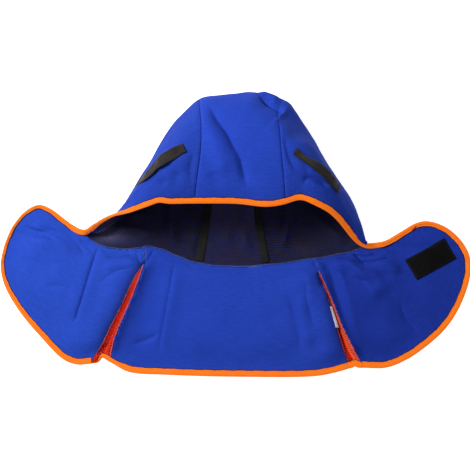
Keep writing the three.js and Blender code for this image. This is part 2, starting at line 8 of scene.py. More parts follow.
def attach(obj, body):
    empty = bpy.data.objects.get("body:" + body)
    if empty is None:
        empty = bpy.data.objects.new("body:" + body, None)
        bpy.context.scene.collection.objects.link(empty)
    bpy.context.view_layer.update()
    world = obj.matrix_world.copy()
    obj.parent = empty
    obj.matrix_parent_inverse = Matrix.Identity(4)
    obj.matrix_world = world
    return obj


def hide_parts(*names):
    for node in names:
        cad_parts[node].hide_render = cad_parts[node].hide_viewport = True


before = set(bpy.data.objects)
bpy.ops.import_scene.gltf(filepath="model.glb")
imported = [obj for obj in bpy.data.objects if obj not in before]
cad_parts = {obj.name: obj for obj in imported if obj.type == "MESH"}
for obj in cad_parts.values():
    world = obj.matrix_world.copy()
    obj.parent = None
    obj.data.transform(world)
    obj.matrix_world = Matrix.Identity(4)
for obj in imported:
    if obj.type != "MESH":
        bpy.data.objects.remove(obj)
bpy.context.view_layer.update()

# A welder's hood with a neck cape, lying on its back. The tables are in millimetres.
middleShift = 3.8  # from the tables' zero to the middle of the part, along y
perMetre = 1000
print("frame loaded:", len(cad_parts), "nodes")


# Camera, light and floor

view = {
    "lens": 520, "sensor": 36, "far": 60, "across": 0.564, "tilt": math.radians(80),
    "lookAt": (-0.0008, -0.0003, 0.02),
}
studio = {
    "keyLight": ((-0.75, 0.4, 1.0), 0.45, 24), "fillLight": ((0.6, -0.6, 1.1), 0.9, 3),  # place, size and power
    "sky": 0.15, "floorWide": 6, "floorDown": -0.0003, "floorTone": 0.9, "floorGlow": 0.85,
}
toCamera = np.array((0, -math.cos(view["tilt"]), math.sin(view["tilt"])))


def setInputs(node, values):
    for key, value in values.items():
        node.inputs[key].default_value = value


def makeCamera():
    data = bpy.data.cameras.new("photoCamera")
    data.lens = view["lens"]
    data.sensor_width = view["sensor"]
    data.clip_end = view["far"]
    away = view["across"] * view["lens"] / view["sensor"]
    camera = bpy.data.objects.new("photoCamera", data)
    camera.location = Vector(view["lookAt"]) + away * Vector(toCamera)
    camera.rotation_euler = (math.pi / 2 - view["tilt"], 0, 0)
    bpy.context.scene.collection.objects.link(camera)
    bpy.context.scene.camera = camera


def makeLamp(name, place, size, power):
    data = bpy.data.lights.new(name, "AREA")
    data.size = size
    data.energy = power
    lamp = bpy.data.objects.new(name, data)
    lamp.location = place
    lamp.rotation_euler = (-Vector(place)).to_track_quat("-Z", "Y").to_euler()
    bpy.context.scene.collection.objects.link(lamp)


def makeStudio():
    for name in ("keyLight", "fillLight"):
        makeLamp(name, *studio[name])
    world = bpy.data.worlds.new("studio")
    world.use_nodes = True
    setInputs(world.node_tree.nodes["Background"], {"Color": (1, 1, 1, 1), "Strength": studio["sky"]})
    bpy.context.scene.world = world
    bpy.context.scene.view_settings.view_transform = "Standard"
    mesh = bpy.data.meshes.new("floor")
    wide, tone = studio["floorWide"], studio["floorTone"]
    corners = ((-wide, -wide), (wide, -wide), (wide, wide), (-wide, wide))
    mesh.from_pydata([(x, y, studio["floorDown"]) for x, y in corners], [], [(0, 1, 2, 3)])
    paper = bpy.data.materials.new("floorPaper")
    paper.use_nodes = True
    setInputs(paper.node_tree.nodes["Principled BSDF"], {
        "Base Color": (tone, tone, tone, 1), "Roughness": 0.9,
        "Emission Color": (1, 1, 1, 1), "Emission Strength": studio["floorGlow"],
    })
    mesh.materials.append(paper)
    floor = bpy.data.objects.new("floor", mesh)
    bpy.context.scene.collection.objects.link(floor)


makeCamera()
makeStudio()
print("camera, light and floor made")


# Finishes

def newFinish(name, roughness, sheen, gloss=0.12, glowColour=(1, 1, 1), glow=0):
    finish = bpy.data.materials.new(name)
    finish.use_nodes = True
    shader = finish.node_tree.nodes["Principled BSDF"]
    setInputs(shader, {
        "Roughness": roughness, "Sheen Weight": sheen, "Sheen Roughness": 0.5, "Specular IOR Level": gloss,
        "Emission Color": (*glowColour, 1), "Emission Strength": glow,
    })
    return finish, finish.node_tree, shader


def addNode(tree, kind, **settings):
    node = tree.nodes.new(kind)
    for key, value in settings.items():
        if key in node.inputs:
            node.inputs[key].default_value = value
        else:
            setattr(node, key, value)
    return node


def clothPlace(tree):
    return addNode(tree, "ShaderNodeUVMap", uv_map="cut").outputs["UV"]


def ribs(tree, place, direction, pitch):
    wave = addNode(tree, "ShaderNodeTexWave", wave_type="BANDS", bands_direction=direction, Scale=0.314 / pitch)
    tree.links.new(place, wave.inputs["Vector"])
    return wave.outputs["Fac"]


def grain(tree, place, size, detail=3.0):
    cloud = addNode(tree, "ShaderNodeTexNoise", Scale=1 / size, Detail=detail)
    tree.links.new(place, cloud.inputs["Vector"])
    return cloud.outputs["Fac"]


def combine(tree, kind, first, second):
    node = addNode(tree, "ShaderNodeMath", operation=kind)
    for socket, value in zip(node.inputs, (first, second)):
        if isinstance(value, (int, float)):
            socket.default_value = value
        else:
            tree.links.new(value, socket)
    return node.outputs["Value"]


# A sum of values, each with its weight
def weighted(tree, *parts):
    total = None
    for value, weight in parts:
        part = value if weight == 1 else combine(tree, "MULTIPLY", value, weight)
        total = part if total is None else combine(tree, "ADD", total, part)
    return total


def tones(tree, amount, stops):
    ramp = addNode(tree, "ShaderNodeValToRGB")
    points = ramp.color_ramp.elements
    while len(points) < len(stops):
        points.new(0.5)
    for point, (place, colour) in zip(points, stops):
        point.position = place
        point.color = (*colour, 1)
    tree.links.new(amount, ramp.inputs["Fac"])
    return ramp.outputs["Color"]


def relief(tree, shader, height, strength, depth):
    bump = addNode(tree, "ShaderNodeBump", Strength=strength, Distance=depth)
    tree.links.new(height, bump.inputs["Height"])
    tree.links.new(bump.outputs["Normal"], shader.inputs["Normal"])


twill = {
    "warp": 0.00085, "weft": 0.0007, "slub": 0.004, "patch": 0.045, "drawn": (0.35, 2.2, 1),
    "dark": (0.011, 0.040, 0.31), "mid": (0.016, 0.055, 0.395), "pale": (0.024, 0.074, 0.49),
}


def makeTwill(name, tone):
    finish, tree, shader = newFinish(name, 0.86, 0.0, 0.06)
    place = clothPlace(tree)
    warp = ribs(tree, place, "X", twill["warp"])
    weave = combine(tree, "MULTIPLY", warp, ribs(tree, place, "DIAGONAL", twill["weft"]))
    drawn = addNode(tree, "ShaderNodeMapping", Scale=twill["drawn"])
    tree.links.new(place, drawn.inputs["Vector"])
    slub = grain(tree, drawn.outputs["Vector"], twill["slub"], 4)
    fleck = grain(tree, place, twill["slub"] * 0.5, 2)
    patch = grain(tree, place, twill["patch"], 2)
    shade = weighted(tree, (slub, 0.5), (fleck, 0.35), (patch, 0.3))
    stops = [(at, tuple(np.multiply(tone, twill[key]))) for at, key in ((0.3, "dark"), (0.53, "mid"), (0.76, "pale"))]
    tree.links.new(tones(tree, weighted(tree, (weave, 0.14), (shade, 0.85)), stops), shader.inputs["Base Color"])
    tree.links.new(combine(tree, "ADD", weighted(tree, (slub, 0.12)), 0.8), shader.inputs["Roughness"])
    relief(tree, shader, weighted(tree, (weave, 1), (combine(tree, "ADD", slub, fleck), 0.7)), 0.4, 0.0003)
    return finish


def makeNet(name, dark, mid, pale, knotColour, sheen, glow=0, knotSharp=2.6):
    finish, tree, shader = newFinish(name, 0.8, sheen, 0.05, mid, glow)  # glow for light that the lamps miss
    place = clothPlace(tree)
    yarn = combine(tree, "MULTIPLY", ribs(tree, place, "X", 0.0006), ribs(tree, place, "Y", 0.0006))
    cloud = grain(tree, place, 0.006, 4)
    body = tones(tree, weighted(tree, (yarn, 0.25), (cloud, 1)), [(0.35, dark), (0.6, mid), (0.9, pale)])
    # knot: painted glints and patches of painted light, mixed into the net's colour
    knot = addNode(tree, "ShaderNodeAttribute", attribute_name="knot")
    mixed = addNode(tree, "ShaderNodeMix", data_type="RGBA")
    tree.links.new(combine(tree, "POWER", knot.outputs["Fac"], knotSharp), mixed.inputs["Factor"])
    tree.links.new(body, mixed.inputs["A"])
    mixed.inputs["B"].default_value = (*knotColour, 1)
    tree.links.new(mixed.outputs["Result"], shader.inputs["Base Color"])
    relief(tree, shader, combine(tree, "ADD", yarn, cloud), 0.4, 0.0002)
    return finish


def makeTape(name, pitchAlong, pitchAcross, dark, mid, pale, sheen, glow=0):
    # glow: painted light, the tape shines in its own colour whatever light reaches it
    finish, tree, shader = newFinish(name, 0.75, sheen, glowColour=mid, glow=glow)
    place = clothPlace(tree)
    along = ribs(tree, place, "X", pitchAlong)
    across = ribs(tree, place, "Y", pitchAcross)
    cloud = grain(tree, place, 0.012, 5)
    shade = weighted(tree, (combine(tree, "MULTIPLY", along, across), 0.3), (cloud, 0.8))
    tree.links.new(tones(tree, shade, [(0.25, dark), (0.5, mid), (0.85, pale)]), shader.inputs["Base Color"])
    tree.links.new(combine(tree, "ADD", weighted(tree, (cloud, 0.2)), 0.62), shader.inputs["Roughness"])
    relief(tree, shader, weighted(tree, (along, 1), (across, 1), (cloud, 1)), 0.45, 0.0003)
    return finish


def makeThread(name, dark, pale, sheen):
    finish, tree, shader = newFinish(name, 0.6, sheen, 0.06)
    cloud = grain(tree, addNode(tree, "ShaderNodeTexCoord").outputs["Object"], 0.0015, 2)
    tree.links.new(tones(tree, cloud, [(0.3, dark), (0.7, pale)]), shader.inputs["Base Color"])
    relief(tree, shader, cloud, 0.3, 0.0002)
    return finish


finishes = {
    "cloth": makeTwill("blueTwill", (0.95, 0.92, 0.95)),
    "clothHood": makeTwill("blueTwillHood", (0.86, 0.78, 0.89)),  # each panel's tone is painted lighter or darker: painted light and shade for how the light falls on it
    "clothLeft": makeTwill("blueTwillLeft", (0.70, 0.64, 0.71)),
    "clothBack": makeTwill("blueTwillBack", (0.82, 0.76, 0.87)),
    "clothRight": makeTwill("blueTwillRight", (0.62, 0.55, 0.71)),
    "lining": makeNet("navyNet", (0.005, 0.0046, 0.014), (0.009, 0.0083, 0.026), (0.014, 0.013, 0.038),
                      (0.55, 0.55, 1.0), 0, 0.6, 1.6),
    "liningSide": makeNet("navyNetSide", (0.005, 0.0046, 0.014), (0.009, 0.0083, 0.024), (0.014, 0.013, 0.034),
                          (0.55, 0.55, 1.0), 0, 0.12, 1.6),
    "gusset": makeNet("redNet", (0.20, 0.004, 0.004), (0.46, 0.007, 0.006), (0.64, 0.012, 0.009),
                      (1.0, 0.105, 0.030), 0.02),
    # dark red standing for the shade seen through the net's holes
    "gussetShade": makeNet("redNetShade", (0.035, 0.001, 0.001), (0.07, 0.002, 0.001), (0.12, 0.004, 0.002),
                           (0.2, 0.01, 0.004), 0),
    # the orange tape's glow is painted light that keeps its shaded sides bright
    "binding": makeTape("orangeTape", 0.0008, 0.0008,
                        (0.45, 0.079, 0.003), (0.50, 0.098, 0.004), (0.54, 0.120, 0.010), 0.02, 0.93),
    "liningTape": makeTape("blackTape", 0.001, 0.0009,
                           (0.0045, 0.0045, 0.0045), (0.009, 0.0088, 0.0088), (0.018, 0.0175, 0.0175), 0),
    "webbing": makeTape("blackWebbing", 0.0016, 0.0012,
                        (0.008, 0.007, 0.006), (0.017, 0.014, 0.012), (0.034, 0.028, 0.024), 0.05),
    "hooks": makeThread("hookNylon", (0.0015, 0.0015, 0.0016), (0.006, 0.006, 0.0065), 0.0),
    "loops": makeThread("loopPile", (0.004, 0.004, 0.005), (0.014, 0.014, 0.016), 0.2),
    "label": makeTape("whiteLabel", 0.0006, 0.0006,
                      (0.28, 0.28, 0.35), (0.40, 0.40, 0.47), (0.52, 0.52, 0.59), 0.05),
    "orangeThread": makeThread("orangeThread", (0.70, 0.15, 0.008), (0.90, 0.24, 0.02), 0.1),
    "wineThread": makeThread("wineThread", (0.12, 0.004, 0.006), (0.26, 0.012, 0.014), 0),
    "paleThread": makeThread("paleThread", (0.05, 0.075, 0.24), (0.17, 0.21, 0.48), 0),
    "roseThread": makeThread("roseThread", (0.42, 0.07, 0.11), (0.66, 0.28, 0.36), 0.03),
    # navy thread, also used as painted shade along the tape's inner edge
    "navyThread": makeThread("navyThread", (0.004, 0.004, 0.018), (0.010, 0.008, 0.040), 0),
    "blackThread": makeThread("blackThread", (0.006, 0.006, 0.006), (0.02, 0.02, 0.02), 0.1),
}
print("finishes made:", len(finishes))


# Mesh helpers

def ease(low, high, value):
    k = np.clip((value - low) / (high - low), 0, 1)
    return k * k * (3 - 2 * k)


def unit(vectors):
    return vectors / np.maximum(np.linalg.norm(vectors, axis=-1, keepdims=True), 1e-9)


def dot(a, b):
    return np.sum(a * b, axis=-1, keepdims=True)


def uneven(points, size, seed):
    flat = np.asarray(points, float).reshape(-1, 3) / size + seed * 7.31  # each seed reads another part of the noise
    return np.array([noise.noise(p) for p in flat.tolist()]).reshape(np.shape(points)[:-1])


# Slack waves, given by height, size and seed
def waveLift(points, waves):
    return sum(high * uneven(points, size, seed) for high, size, seed in waves)


def gridFaces(rows, columns, flip=False):
    index = np.arange(rows * columns).reshape(rows, columns)
    quads = np.stack([index[:-1, :-1], index[1:, :-1], index[1:, 1:], index[:-1, 1:]], -1).reshape(-1, 4)
    return quads[:, ::-1] if flip else quads


# A closed section carried along a line, with a cap at each end
def sweptFaces(rows, columns, flip=False, capsTurned=False):
    first = list(range(columns - 1))
    last = [(rows - 1) * columns + k for k in first]
    return gridFaces(rows, columns, flip).tolist() + ([first[::-1], last] if capsTurned else [first, last[::-1]])


# Distances along one axis of a line or a grid of points
def runLength(points, axis=0):
    steps = np.linalg.norm(np.diff(points, axis=axis), axis=-1)
    return np.insert(np.cumsum(steps, axis=axis), 0, 0, axis=axis)


def spread(u, v):
    return np.stack(np.meshgrid(u, v, indexing="ij"), -1).reshape(-1, 2)


def shareGrid(columns, rows):
    return np.meshgrid(np.linspace(0, 1, columns + 1), np.linspace(0, 1, rows + 1), indexing="ij")


def smooth(rows, times):
    for _ in range(times):
        rows[1:-1] = rows[1:-1] * 0.5 + (rows[:-2] + rows[2:]) * 0.25


def newPiece(name, points, faces, finish, slotName, nodes=(), places=None):
    mesh = bpy.data.meshes.new(name)
    placed = (np.asarray(points, float).reshape(-1, 3) + (0, middleShift, 0)) / perMetre
    mesh.from_pydata(placed.tolist(), [], faces if isinstance(faces, list) else faces.tolist())
    mesh.polygons.foreach_set("use_smooth", [True] * len(mesh.polygons))
    if places is not None:
        corners = np.empty(len(mesh.loops), np.int32)
        mesh.loops.foreach_get("vertex_index", corners)
        layer = mesh.uv_layers.new(name="cut")
        layer.data.foreach_set("uv", (np.asarray(places)[corners] / perMetre).ravel())
    mesh.update()
    mesh.materials.append(finishes[finish])
    piece = bpy.data.objects.new(name, mesh)
    bpy.context.scene.collection.objects.link(piece)
    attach(piece, "root")
    if nodes:
        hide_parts(*nodes)
    return piece


def gridPiece(name, grid, finish, slotName, nodes, thick, offset, flip=False):
    places = spread(runLength(grid, 0).mean(1), runLength(grid, 1).mean(0))
    piece = newPiece(name, grid, gridFaces(*grid.shape[:2], flip), finish, slotName, nodes, places)
    wall = piece.modifiers.new("clothThickness", "SOLIDIFY")
    wall.thickness = thick / perMetre
    wall.offset = offset
    wall.use_even_offset = False


# A line of points, or the values that go with them, read at any distance along it
def lineReader(points, values=None):
    points = np.asarray(points, float)
    run = runLength(points)
    columns = (points if values is None else values).T

    def read(at):
        return np.stack([np.interp(at, run, column) for column in columns], -1)

    return read, run[-1]


def polyline(points):
    read, total = lineReader(points)
    return lambda share: read(np.asarray(share, float) * total)


# A batch of tubes: centre, aside and up are [tube, ring, xyz]
def tubes(centre, aside, up, radius, sides):
    turn = np.arange(sides) * 2 * math.pi / sides
    wheel = aside[:, :, None] * np.cos(turn)[:, None] + up[:, :, None] * np.sin(turn)[:, None]
    return tubeFaces(centre[:, :, None] + wheel * radius)


def tubeFaces(points):
    count, rings, sides = points.shape[:3]
    index = np.arange(count * rings * sides).reshape(count, rings, sides)
    following = np.roll(index, -1, axis=2)
    quads = np.stack([index[:, :-1], following[:, :-1], following[:, 1:], index[:, 1:]], -1).reshape(-1, 4)
    ends = [*index[:, 0, ::-1].tolist(), *index[:, -1].tolist()]
    return points.reshape(-1, 3), quads.tolist() + ends


stitch = {"rings": np.array([0, 0.12, 0.5, 0.88, 1]), "fat": np.array([0.35, 0.85, 1, 0.85, 0.35]),
          "sunk": np.array([-0.5, 0.2, 0.55, 0.2, -0.5]), "sides": 6}


# Short lengths of thread laid on a line, each sunk at its ends
def stitchRow(line, normals, pitch, long, radius, start=0.0):
    read, total = lineReader(line)
    at = np.arange(start, total - long, pitch)[:, None] + stitch["rings"] * long
    run = unit(read(at + 0.2) - read(at - 0.2))
    aside = unit(np.cross(run, unit(lineReader(line, normals)[0](at))))
    up = np.cross(aside, run)
    centre = read(at) + up * (radius * stitch["sunk"])[None, :, None]
    return tubes(centre, aside, up, (radius * stitch["fat"])[None, :, None, None], stitch["sides"])


def joined(batches):
    points, faces, count = [], [], 0
    for some, their in batches:
        points.append(some)
        faces += [[k + count for k in face] for face in their]
        count += len(some)
    return np.concatenate(points), faces


# One thread along a list of points
def threadAlong(points, radius, sides=5):
    points = np.asarray(points, float)
    run = unit(np.gradient(points, axis=0))
    aside = unit(np.cross(run, (0.13, 0.21, 0.97)))  # any steady direction that no thread follows
    return tubes(points[None], aside[None], np.cross(aside, run)[None], radius, sides)


# From a to b, leaving along start and arriving along end
def bentLine(a, b, start, end, k):
    return a + start * k + (-3 * a + 3 * b - 2 * start - end) * k ** 2 + (2 * a - 2 * b + start + end) * k ** 3


# A smooth edge through rows of points, read by its share of length
def edgeCurve(rows):
    points = np.array(rows, float)
    points = np.vstack([2 * points[0] - points[1], points, 2 * points[-1] - points[-2]])
    dense = []
    for a, b, c, d in zip(points[:-3], points[1:-2], points[2:-1], points[3:]):
        da, db, dc = (math.sqrt(np.linalg.norm(q - p)) for p, q in ((a, b), (b, c), (c, d)))
        start = ((b - a) / da - (c - a) / (da + db) + (c - b) / db) * db
        end = ((c - b) / db - (d - b) / (db + dc) + (d - c) / dc) * db
        k = np.linspace(0, 1, 40, endpoint=False)[:, None]
        dense.append(bentLine(b, c, start, end, k))
    return polyline(np.vstack([*dense, points[-2:-1]]))


# Distance to a bent line (left of it is positive) and the share of its length
def alongLine(x, y, line):
    line = np.asarray(line, float)
    runs = np.linalg.norm(np.diff(line, axis=0), axis=1)
    best = np.full(np.shape(x), 1e9)
    side = np.ones(np.shape(x))
    share = np.zeros(np.shape(x))
    done = 0
    for (x0, y0), (x1, y1), run in zip(line[:-1], line[1:], runs):
        dx, dy = (x1 - x0) / run, (y1 - y0) / run
        k = np.clip((x - x0) * dx + (y - y0) * dy, 0, run)
        ex, ey = x - x0 - k * dx, y - y0 - k * dy
        away = np.hypot(ex, ey)
        nearer = away < best
        side = np.where(nearer, np.where(dx * ey - dy * ex < 0, -1, 1), side)
        share = np.where(nearer, (done + k) / runs.sum(), share)
        best = np.where(nearer, away, best)
        done += run
    return best * side, share


# Folds: line, width and height, then any of lean (wider on its left where positive),
# pressed (a sharp crease) and fade at its ends
def foldLift(x, y, folds, pressed=False):
    lift = np.zeros(np.shape(x))
    for line, wide, high, *more in folds:
        traits = more[0] if more else {}
        away, share = alongLine(x, y, edgeCurve(line)(np.linspace(0, 1, 3 * len(line))))
        wide = wide * (1 + traits.get("lean", 0) * np.tanh(away / wide))
        if traits.get("pressed", pressed):
            body = np.exp(-np.sqrt(away ** 2 + 0.16) / wide)
        else:
            body = np.exp(-(away / wide) ** 2)
        fade = traits.get("fade", 0.25)
        if fade:
            first, last = fade if isinstance(fade, tuple) else (fade, fade)
            body = body * ease(0, first, share) * ease(0, last, 1 - share)
        lift += high * body
    return lift


# Hood: ribs from mouth corner to mouth corner, from the brow edge over the crown to the neck

hood = {
    "cornerLeft": (-180, 1), "cornerRight": (160, -14), "reachLeft": 0.985, "reachRight": 0.985,
    "heldBack": 0.012, "carriedOn": 0.015,  # the left panel's reach, above and below
    "at": [0, 0.07, 0.155, 0.24, 0.33, 0.42, 0.51, 0.6, 0.8, 1],
    "midX": [3, 5, 8, 12, 17, 21, 19, 16, 12, 9],
    "backY": [26, 52, 85, 118, 148, 165, 150, 115, 40, -40],
    "upZ": [74, 86, 92, 86, 68, 38, 6, 0, 0, 0],
    "endZ": [8, 12, 14, 13, 11, 7, 2, 0, 0, 0],
    "flatLeft": [5, 4.2, 3.8, 3.4, 3.2, 3.4, 3.4, 3.4, 3.2, 2.4],
    "sharpLeft": [1, 2, 2.5, 2.7, 2.7, 2.9, 2.9, 2.9, 2.6, 1.6],
    "flatRight": [8, 5, 4, 3.2, 2.7, 2.6, 2.6, 2.6, 2.6, 2.4],
    "sharpRight": [3.5, 1.75, 1.5, 1.35, 1.4, 1.4, 1.4, 1.4, 1.4, 1.2],
    "seamLeft": [-49, -46, -42, -41, -43, -44, -43, -38, -33, -44],
    "seamRight": [60, 58, 55, 53, 52, 59, 54, 42, 27, 36],
    "bulges": [  # x, width, how far out
        (143, 16, 14), (104, 20, -10), (64, 9, 2), (18, 16, 2.5), (-42, 16, 4), (-103, 13, -4),
    ],
    "drawnIn": (150.5, 157),  # the cloth closes here, at the right mouth corner
    "browWaves": [(36, 24, 4), (78, 15, -5), (-128, 20, 4), (-92, 9, -2.5)],  # x, width, how far to the front
    "neckX": [-180, -175, -167, -153, -135, -119, -105, -89, -71, -52, -24, 9, 47, 96, 130, 160],
    "neckY": [1, -6, -11.7, -16.8, -18.8, -17.7, -14.7, -18.7, -26.9, -34.5, -39, -40, -37, -30, -24, -15],
    "thick": 1.2, "seamGap": 0.04, "seamDip": 0.9, "seamWide": 1.6,
    "columns": 76, "sideColumns": 90, "rows": 260, "waves": ((1.1, 38, 1), (0.45, 15, 2)),
    "folds": [
        ([(-34, 150), (-29, 141), (-21, 126), (-10, 110), (-2, 92), (5, 79), (9, 62), (13, 46), (15, 30)],
         8, -7.5, {"lean": 0.5, "pressed": True, "fade": 0.2}),
        ([(-44, 140), (-34, 120), (-24, 100), (-17, 76), (-14, 48)], 10, 2.6),
        ([(22, 164), (32, 158), (42, 151.5), (52, 145), (60, 139)],
         9, -7, {"lean": -0.55, "pressed": True, "fade": (0.5, 0.12)}),
        ([(26, 163), (34, 158), (43, 152), (53, 145.5), (58, 142)],
         2.2, -9, {"pressed": True, "fade": (0.45, 0.12)}),
        ([(26, 168), (40, 161), (54, 152)], 5, 4, {"fade": 0.3}),
        ([(54, 142), (63, 134), (73, 122), (79, 107), (80, 92)], 12, -8, {"fade": (0.2, 0.45)}),
        ([(58, 112), (60, 96), (63, 82), (69, 66), (72, 52)], 4, -1.8, {"lean": 0.4, "fade": 0.35}),
        ([(-50, 86), (-54, 64), (-53, 44)], 4, -2.8, {"pressed": True}),
        ([(81, 36), (81, 46), (86, 53), (98, 52), (113, 45)],
         3.6, -4.8, {"lean": 0.3, "pressed": True, "fade": 0.2}),
        ([(84, 64), (98, 64), (114, 56)], 10, 1.6),
        ([(88, 44), (98, 43), (110, 36)], 4.5, 2),
        ([(-84, 57), (-92, 36), (-96, 20)], 5, -3),
        ([(-100, 50), (-106, 34), (-110, 20)], 5, 2.2),
        ([(-68, 66), (-73, 42), (-71, 24)], 6, -2.6),
        ([(-60, 120), (-66, 92), (-64, 60)], 14, 2.5),
        ([(-30, 62), (-24, 44), (-22, 28)], 7, -2.4),
    ],
}
ribKeys = ["midX", "backY", "upZ", "endZ", "seamLeft", "seamRight",
           "flatLeft", "sharpLeft", "flatRight", "sharpRight"]


def splineAt(values, s):
    at = np.asarray(hood["at"], float)
    values = np.asarray(values, float)
    high = np.clip(np.searchsorted(at, s, side="right"), 1, len(at) - 1)
    low = high - 1
    first, last = low == 0, high == len(at) - 1
    before = np.where(first, high, low - 1)
    after = np.where(last, low, np.minimum(high + 1, len(at) - 1))
    half = (at[high] - at[low]) / 2
    weightBefore = half / (at[low] - at[before])
    weightAfter = half / (at[after] - at[high])
    p = (s - at[low]) / (at[high] - at[low])
    return (values[before] * (-weightBefore * p ** 3 + 2 * weightBefore * p ** 2 - weightBefore * p)
            + values[low] * ((1 + weightBefore) * p ** 3 + (-1.5 - 2 * weightBefore) * p ** 2
                             + (-0.5 + weightBefore) * p + 1)
            + values[high] * ((-1 - weightAfter) * p ** 3 + (1.5 + weightAfter) * p ** 2 + 0.5 * p)
            + values[after] * (weightAfter * p ** 3 - weightAfter * p ** 2))


def ribAt(s):
    return {key: splineAt(hood[key], s) for key in ribKeys}


def ribPoint(rib, t):
    left = t < 0
    cornerX = np.where(left, hood["cornerLeft"][0], hood["cornerRight"][0])
    cornerY = np.where(left, hood["cornerLeft"][1], hood["cornerRight"][1])
    flat = np.where(left, rib["flatLeft"], rib["flatRight"])
    sharp = np.where(left, rib["sharpLeft"], rib["sharpRight"])
    side = np.abs(t)
    rise = np.clip(1 - side ** flat, 0, 1) ** sharp
    return (rib["midX"] + side * (cornerX - rib["midX"]),
            cornerY + (rib["backY"] - cornerY) * rise,
            rib["endZ"] + (rib["upZ"] - rib["endZ"]) * rise)


def neckAt(x):
    xs, ys = np.array(hood["neckX"], float), np.array(hood["neckY"], float)
    high = np.clip(np.searchsorted(xs, x), 1, len(xs) - 1)
    k = np.clip((x - xs[high - 1]) / (xs[high] - xs[high - 1]), 0, 1)
    return ys[high - 1] + (ys[high] - ys[high - 1]) * (k * k * (3 - 2 * k) * 0.5 + k * 0.5)


def hoodPoint(s, t):
    s, t = np.broadcast_arrays(np.asarray(s, float), np.asarray(t, float))
    x, y, z = ribPoint(ribAt(s), t)
    neckX, neckY, _ = ribPoint(ribAt(np.ones(1)), t)
    y = y + (neckAt(neckX) - neckY) * ease(0.72, 1, s)
    brow = 1 - ease(0, 0.12, s)
    for at, wide, forward in hood["browWaves"]:
        y = y - brow * forward * np.exp(-((x - at) / wide) ** 2)
    widest = ease(0.1, 0.4, s) * (1 - ease(0.45, 0.85, s)) * (1 - ease(*hood["drawnIn"], x))
    for at, wide, out in hood["bulges"]:
        y = y + widest * out * np.exp(-((x - at) / wide) ** 2)
    return np.stack([x, y, np.maximum(z, 0)], -1)


def hoodFrame(s, t):
    step = 0.004
    point = hoodPoint(s, t)
    back = unit(hoodPoint(np.minimum(1, s + step), t) - hoodPoint(np.maximum(0, s - step), t))
    across = unit(hoodPoint(s, t + step) - hoodPoint(s, t - step))
    return point, across, back, unit(np.cross(across, back))


# The cloth with its folds and slack waves, free where it isn't bound
def hoodSkin(s, t, free=1.0):
    point, _, _, normal = hoodFrame(s, t)
    upper = ease(0.02, 0.10, s) * (1 - ease(0.40, 0.5, s)) * free
    lift = upper * (foldLift(point[..., 0], point[..., 1], hood["folds"]) + waveLift(point, hood["waves"]))
    return point + normal * lift[..., None], normal


# Half the width of a rib, on the side where x lies
def halfRib(rib, x):
    return np.abs(np.where(x < rib["midX"], hood["cornerLeft"][0], hood["cornerRight"][0]) - rib["midX"])


def seamAt(s, side):
    rib = ribAt(s)
    x = rib["seamLeft"] if side == "left" else rib["seamRight"]
    half = halfRib(rib, x)
    return (x - rib["midX"]) / half, hood["seamGap"] / 2 / half


def panelPlace(side, u, s):
    left, leftGap = seamAt(s, "left")
    right, rightGap = seamAt(s, "right")
    if side == "left":
        reach = hood["reachLeft"] - hood["heldBack"] * (1 - ease(0.25, 0.4, s))
        reach = reach + hood["carriedOn"] * ease(0.36, 0.46, s)  # to the mouth's corner
        return (left - leftGap) * (1 - u) - reach * u
    if side == "right":
        return (right + rightGap) * (1 - u) + hood["reachRight"] * u
    return (left + leftGap) * (1 - u) + (right - rightGap) * u


def hoodPanel(side):
    columns = hood["columns"] if side == "middle" else hood["sideColumns"]
    u, s = shareGrid(columns, hood["rows"])
    t = panelPlace(side, u, s)
    base = hoodPoint(s, t)
    fromSeam, run = runLength(base, 0), runLength(base, 1)
    grid, normal = hoodSkin(s, t, ease(9, 24, run))
    if side == "middle":
        fromSeam = np.minimum(fromSeam, fromSeam[-1] - fromSeam)
    dip = -hood["seamDip"] * np.exp(-(fromSeam / hood["seamWide"]) ** 2)
    pucker = 0.3 * np.sin(run * 0.85 + 1.7 * np.sin(run * 0.11)) * np.exp(-fromSeam / 5) * ease(0, 2, fromSeam)
    hem = 0.3 * np.sin(u * 190 + 2 * np.sin(u * 31)) * np.exp(-np.maximum(run - 12, 0) / 7) * ease(8, 13, run)
    above = 1 - ease(0.4, 0.48, s)
    grid = grid + normal * ((dip + pucker) * (0.25 + 0.75 * (1 - ease(0.26, 0.4, s))) + hem * above)[..., None]
    grid[..., 2] = np.maximum(grid[..., 2], 0)
    return grid


for side, name, finish, node in (("middle", "crown_cloth", "clothHood", "crown_centre_panel"),
                                 ("left", "left_side_cloth", "clothLeft", "side_panel_left"),
                                 ("right", "right_side_cloth", "clothHood", "side_panel_right")):
    gridPiece(name, hoodPanel(side), finish, "cloth_blue", [node], hood["thick"], -1, side == "left")
print("hood panels made")


netRow = 0.866  # height of a row of six-sided meshes, against their pitch


# Net: six-sided meshes on a sheet, with painted glints on their knots, bright and faint by turns
def netMesh(surface, across, along, pitch, hole, faint=0.3):
    columns, rows = round(across / pitch), round(along / (pitch * netRow))
    i, j = np.meshgrid(np.arange(columns + 1), np.arange(rows + 1), indexing="ij")
    centre = np.stack([(i + 0.5 * (j % 2) - 0.25).ravel(), j.ravel() * netRow], -1)
    turn = np.radians(30 + 60 * np.arange(6))
    wheel = np.stack([np.cos(turn), np.sin(turn)], -1) / math.sqrt(3)
    outer = (centre[:, None] + wheel).reshape(-1, 2)
    keys, first, index = np.unique(np.round(outer * 1000).astype(int), axis=0, return_index=True,
                                   return_inverse=True)
    index = index.reshape(-1, 6)
    inner = (centre[:, None] + wheel * hole).reshape(-1, 2)
    flat = np.concatenate([keys / 1000, inner])
    within = len(keys) + np.arange(len(inner)).reshape(-1, 6)
    quads = np.stack([index, np.roll(index, -1, 1), np.roll(within, -1, 1), within], -1).reshape(-1, 4)
    share = np.clip(flat / (columns, rows * netRow), 0, 1)
    knot = np.concatenate([np.where(first % 2 == 0, 1.0, faint), np.zeros(len(inner))])
    return surface(share[:, 0], share[:, 1]), quads, flat * pitch, knot


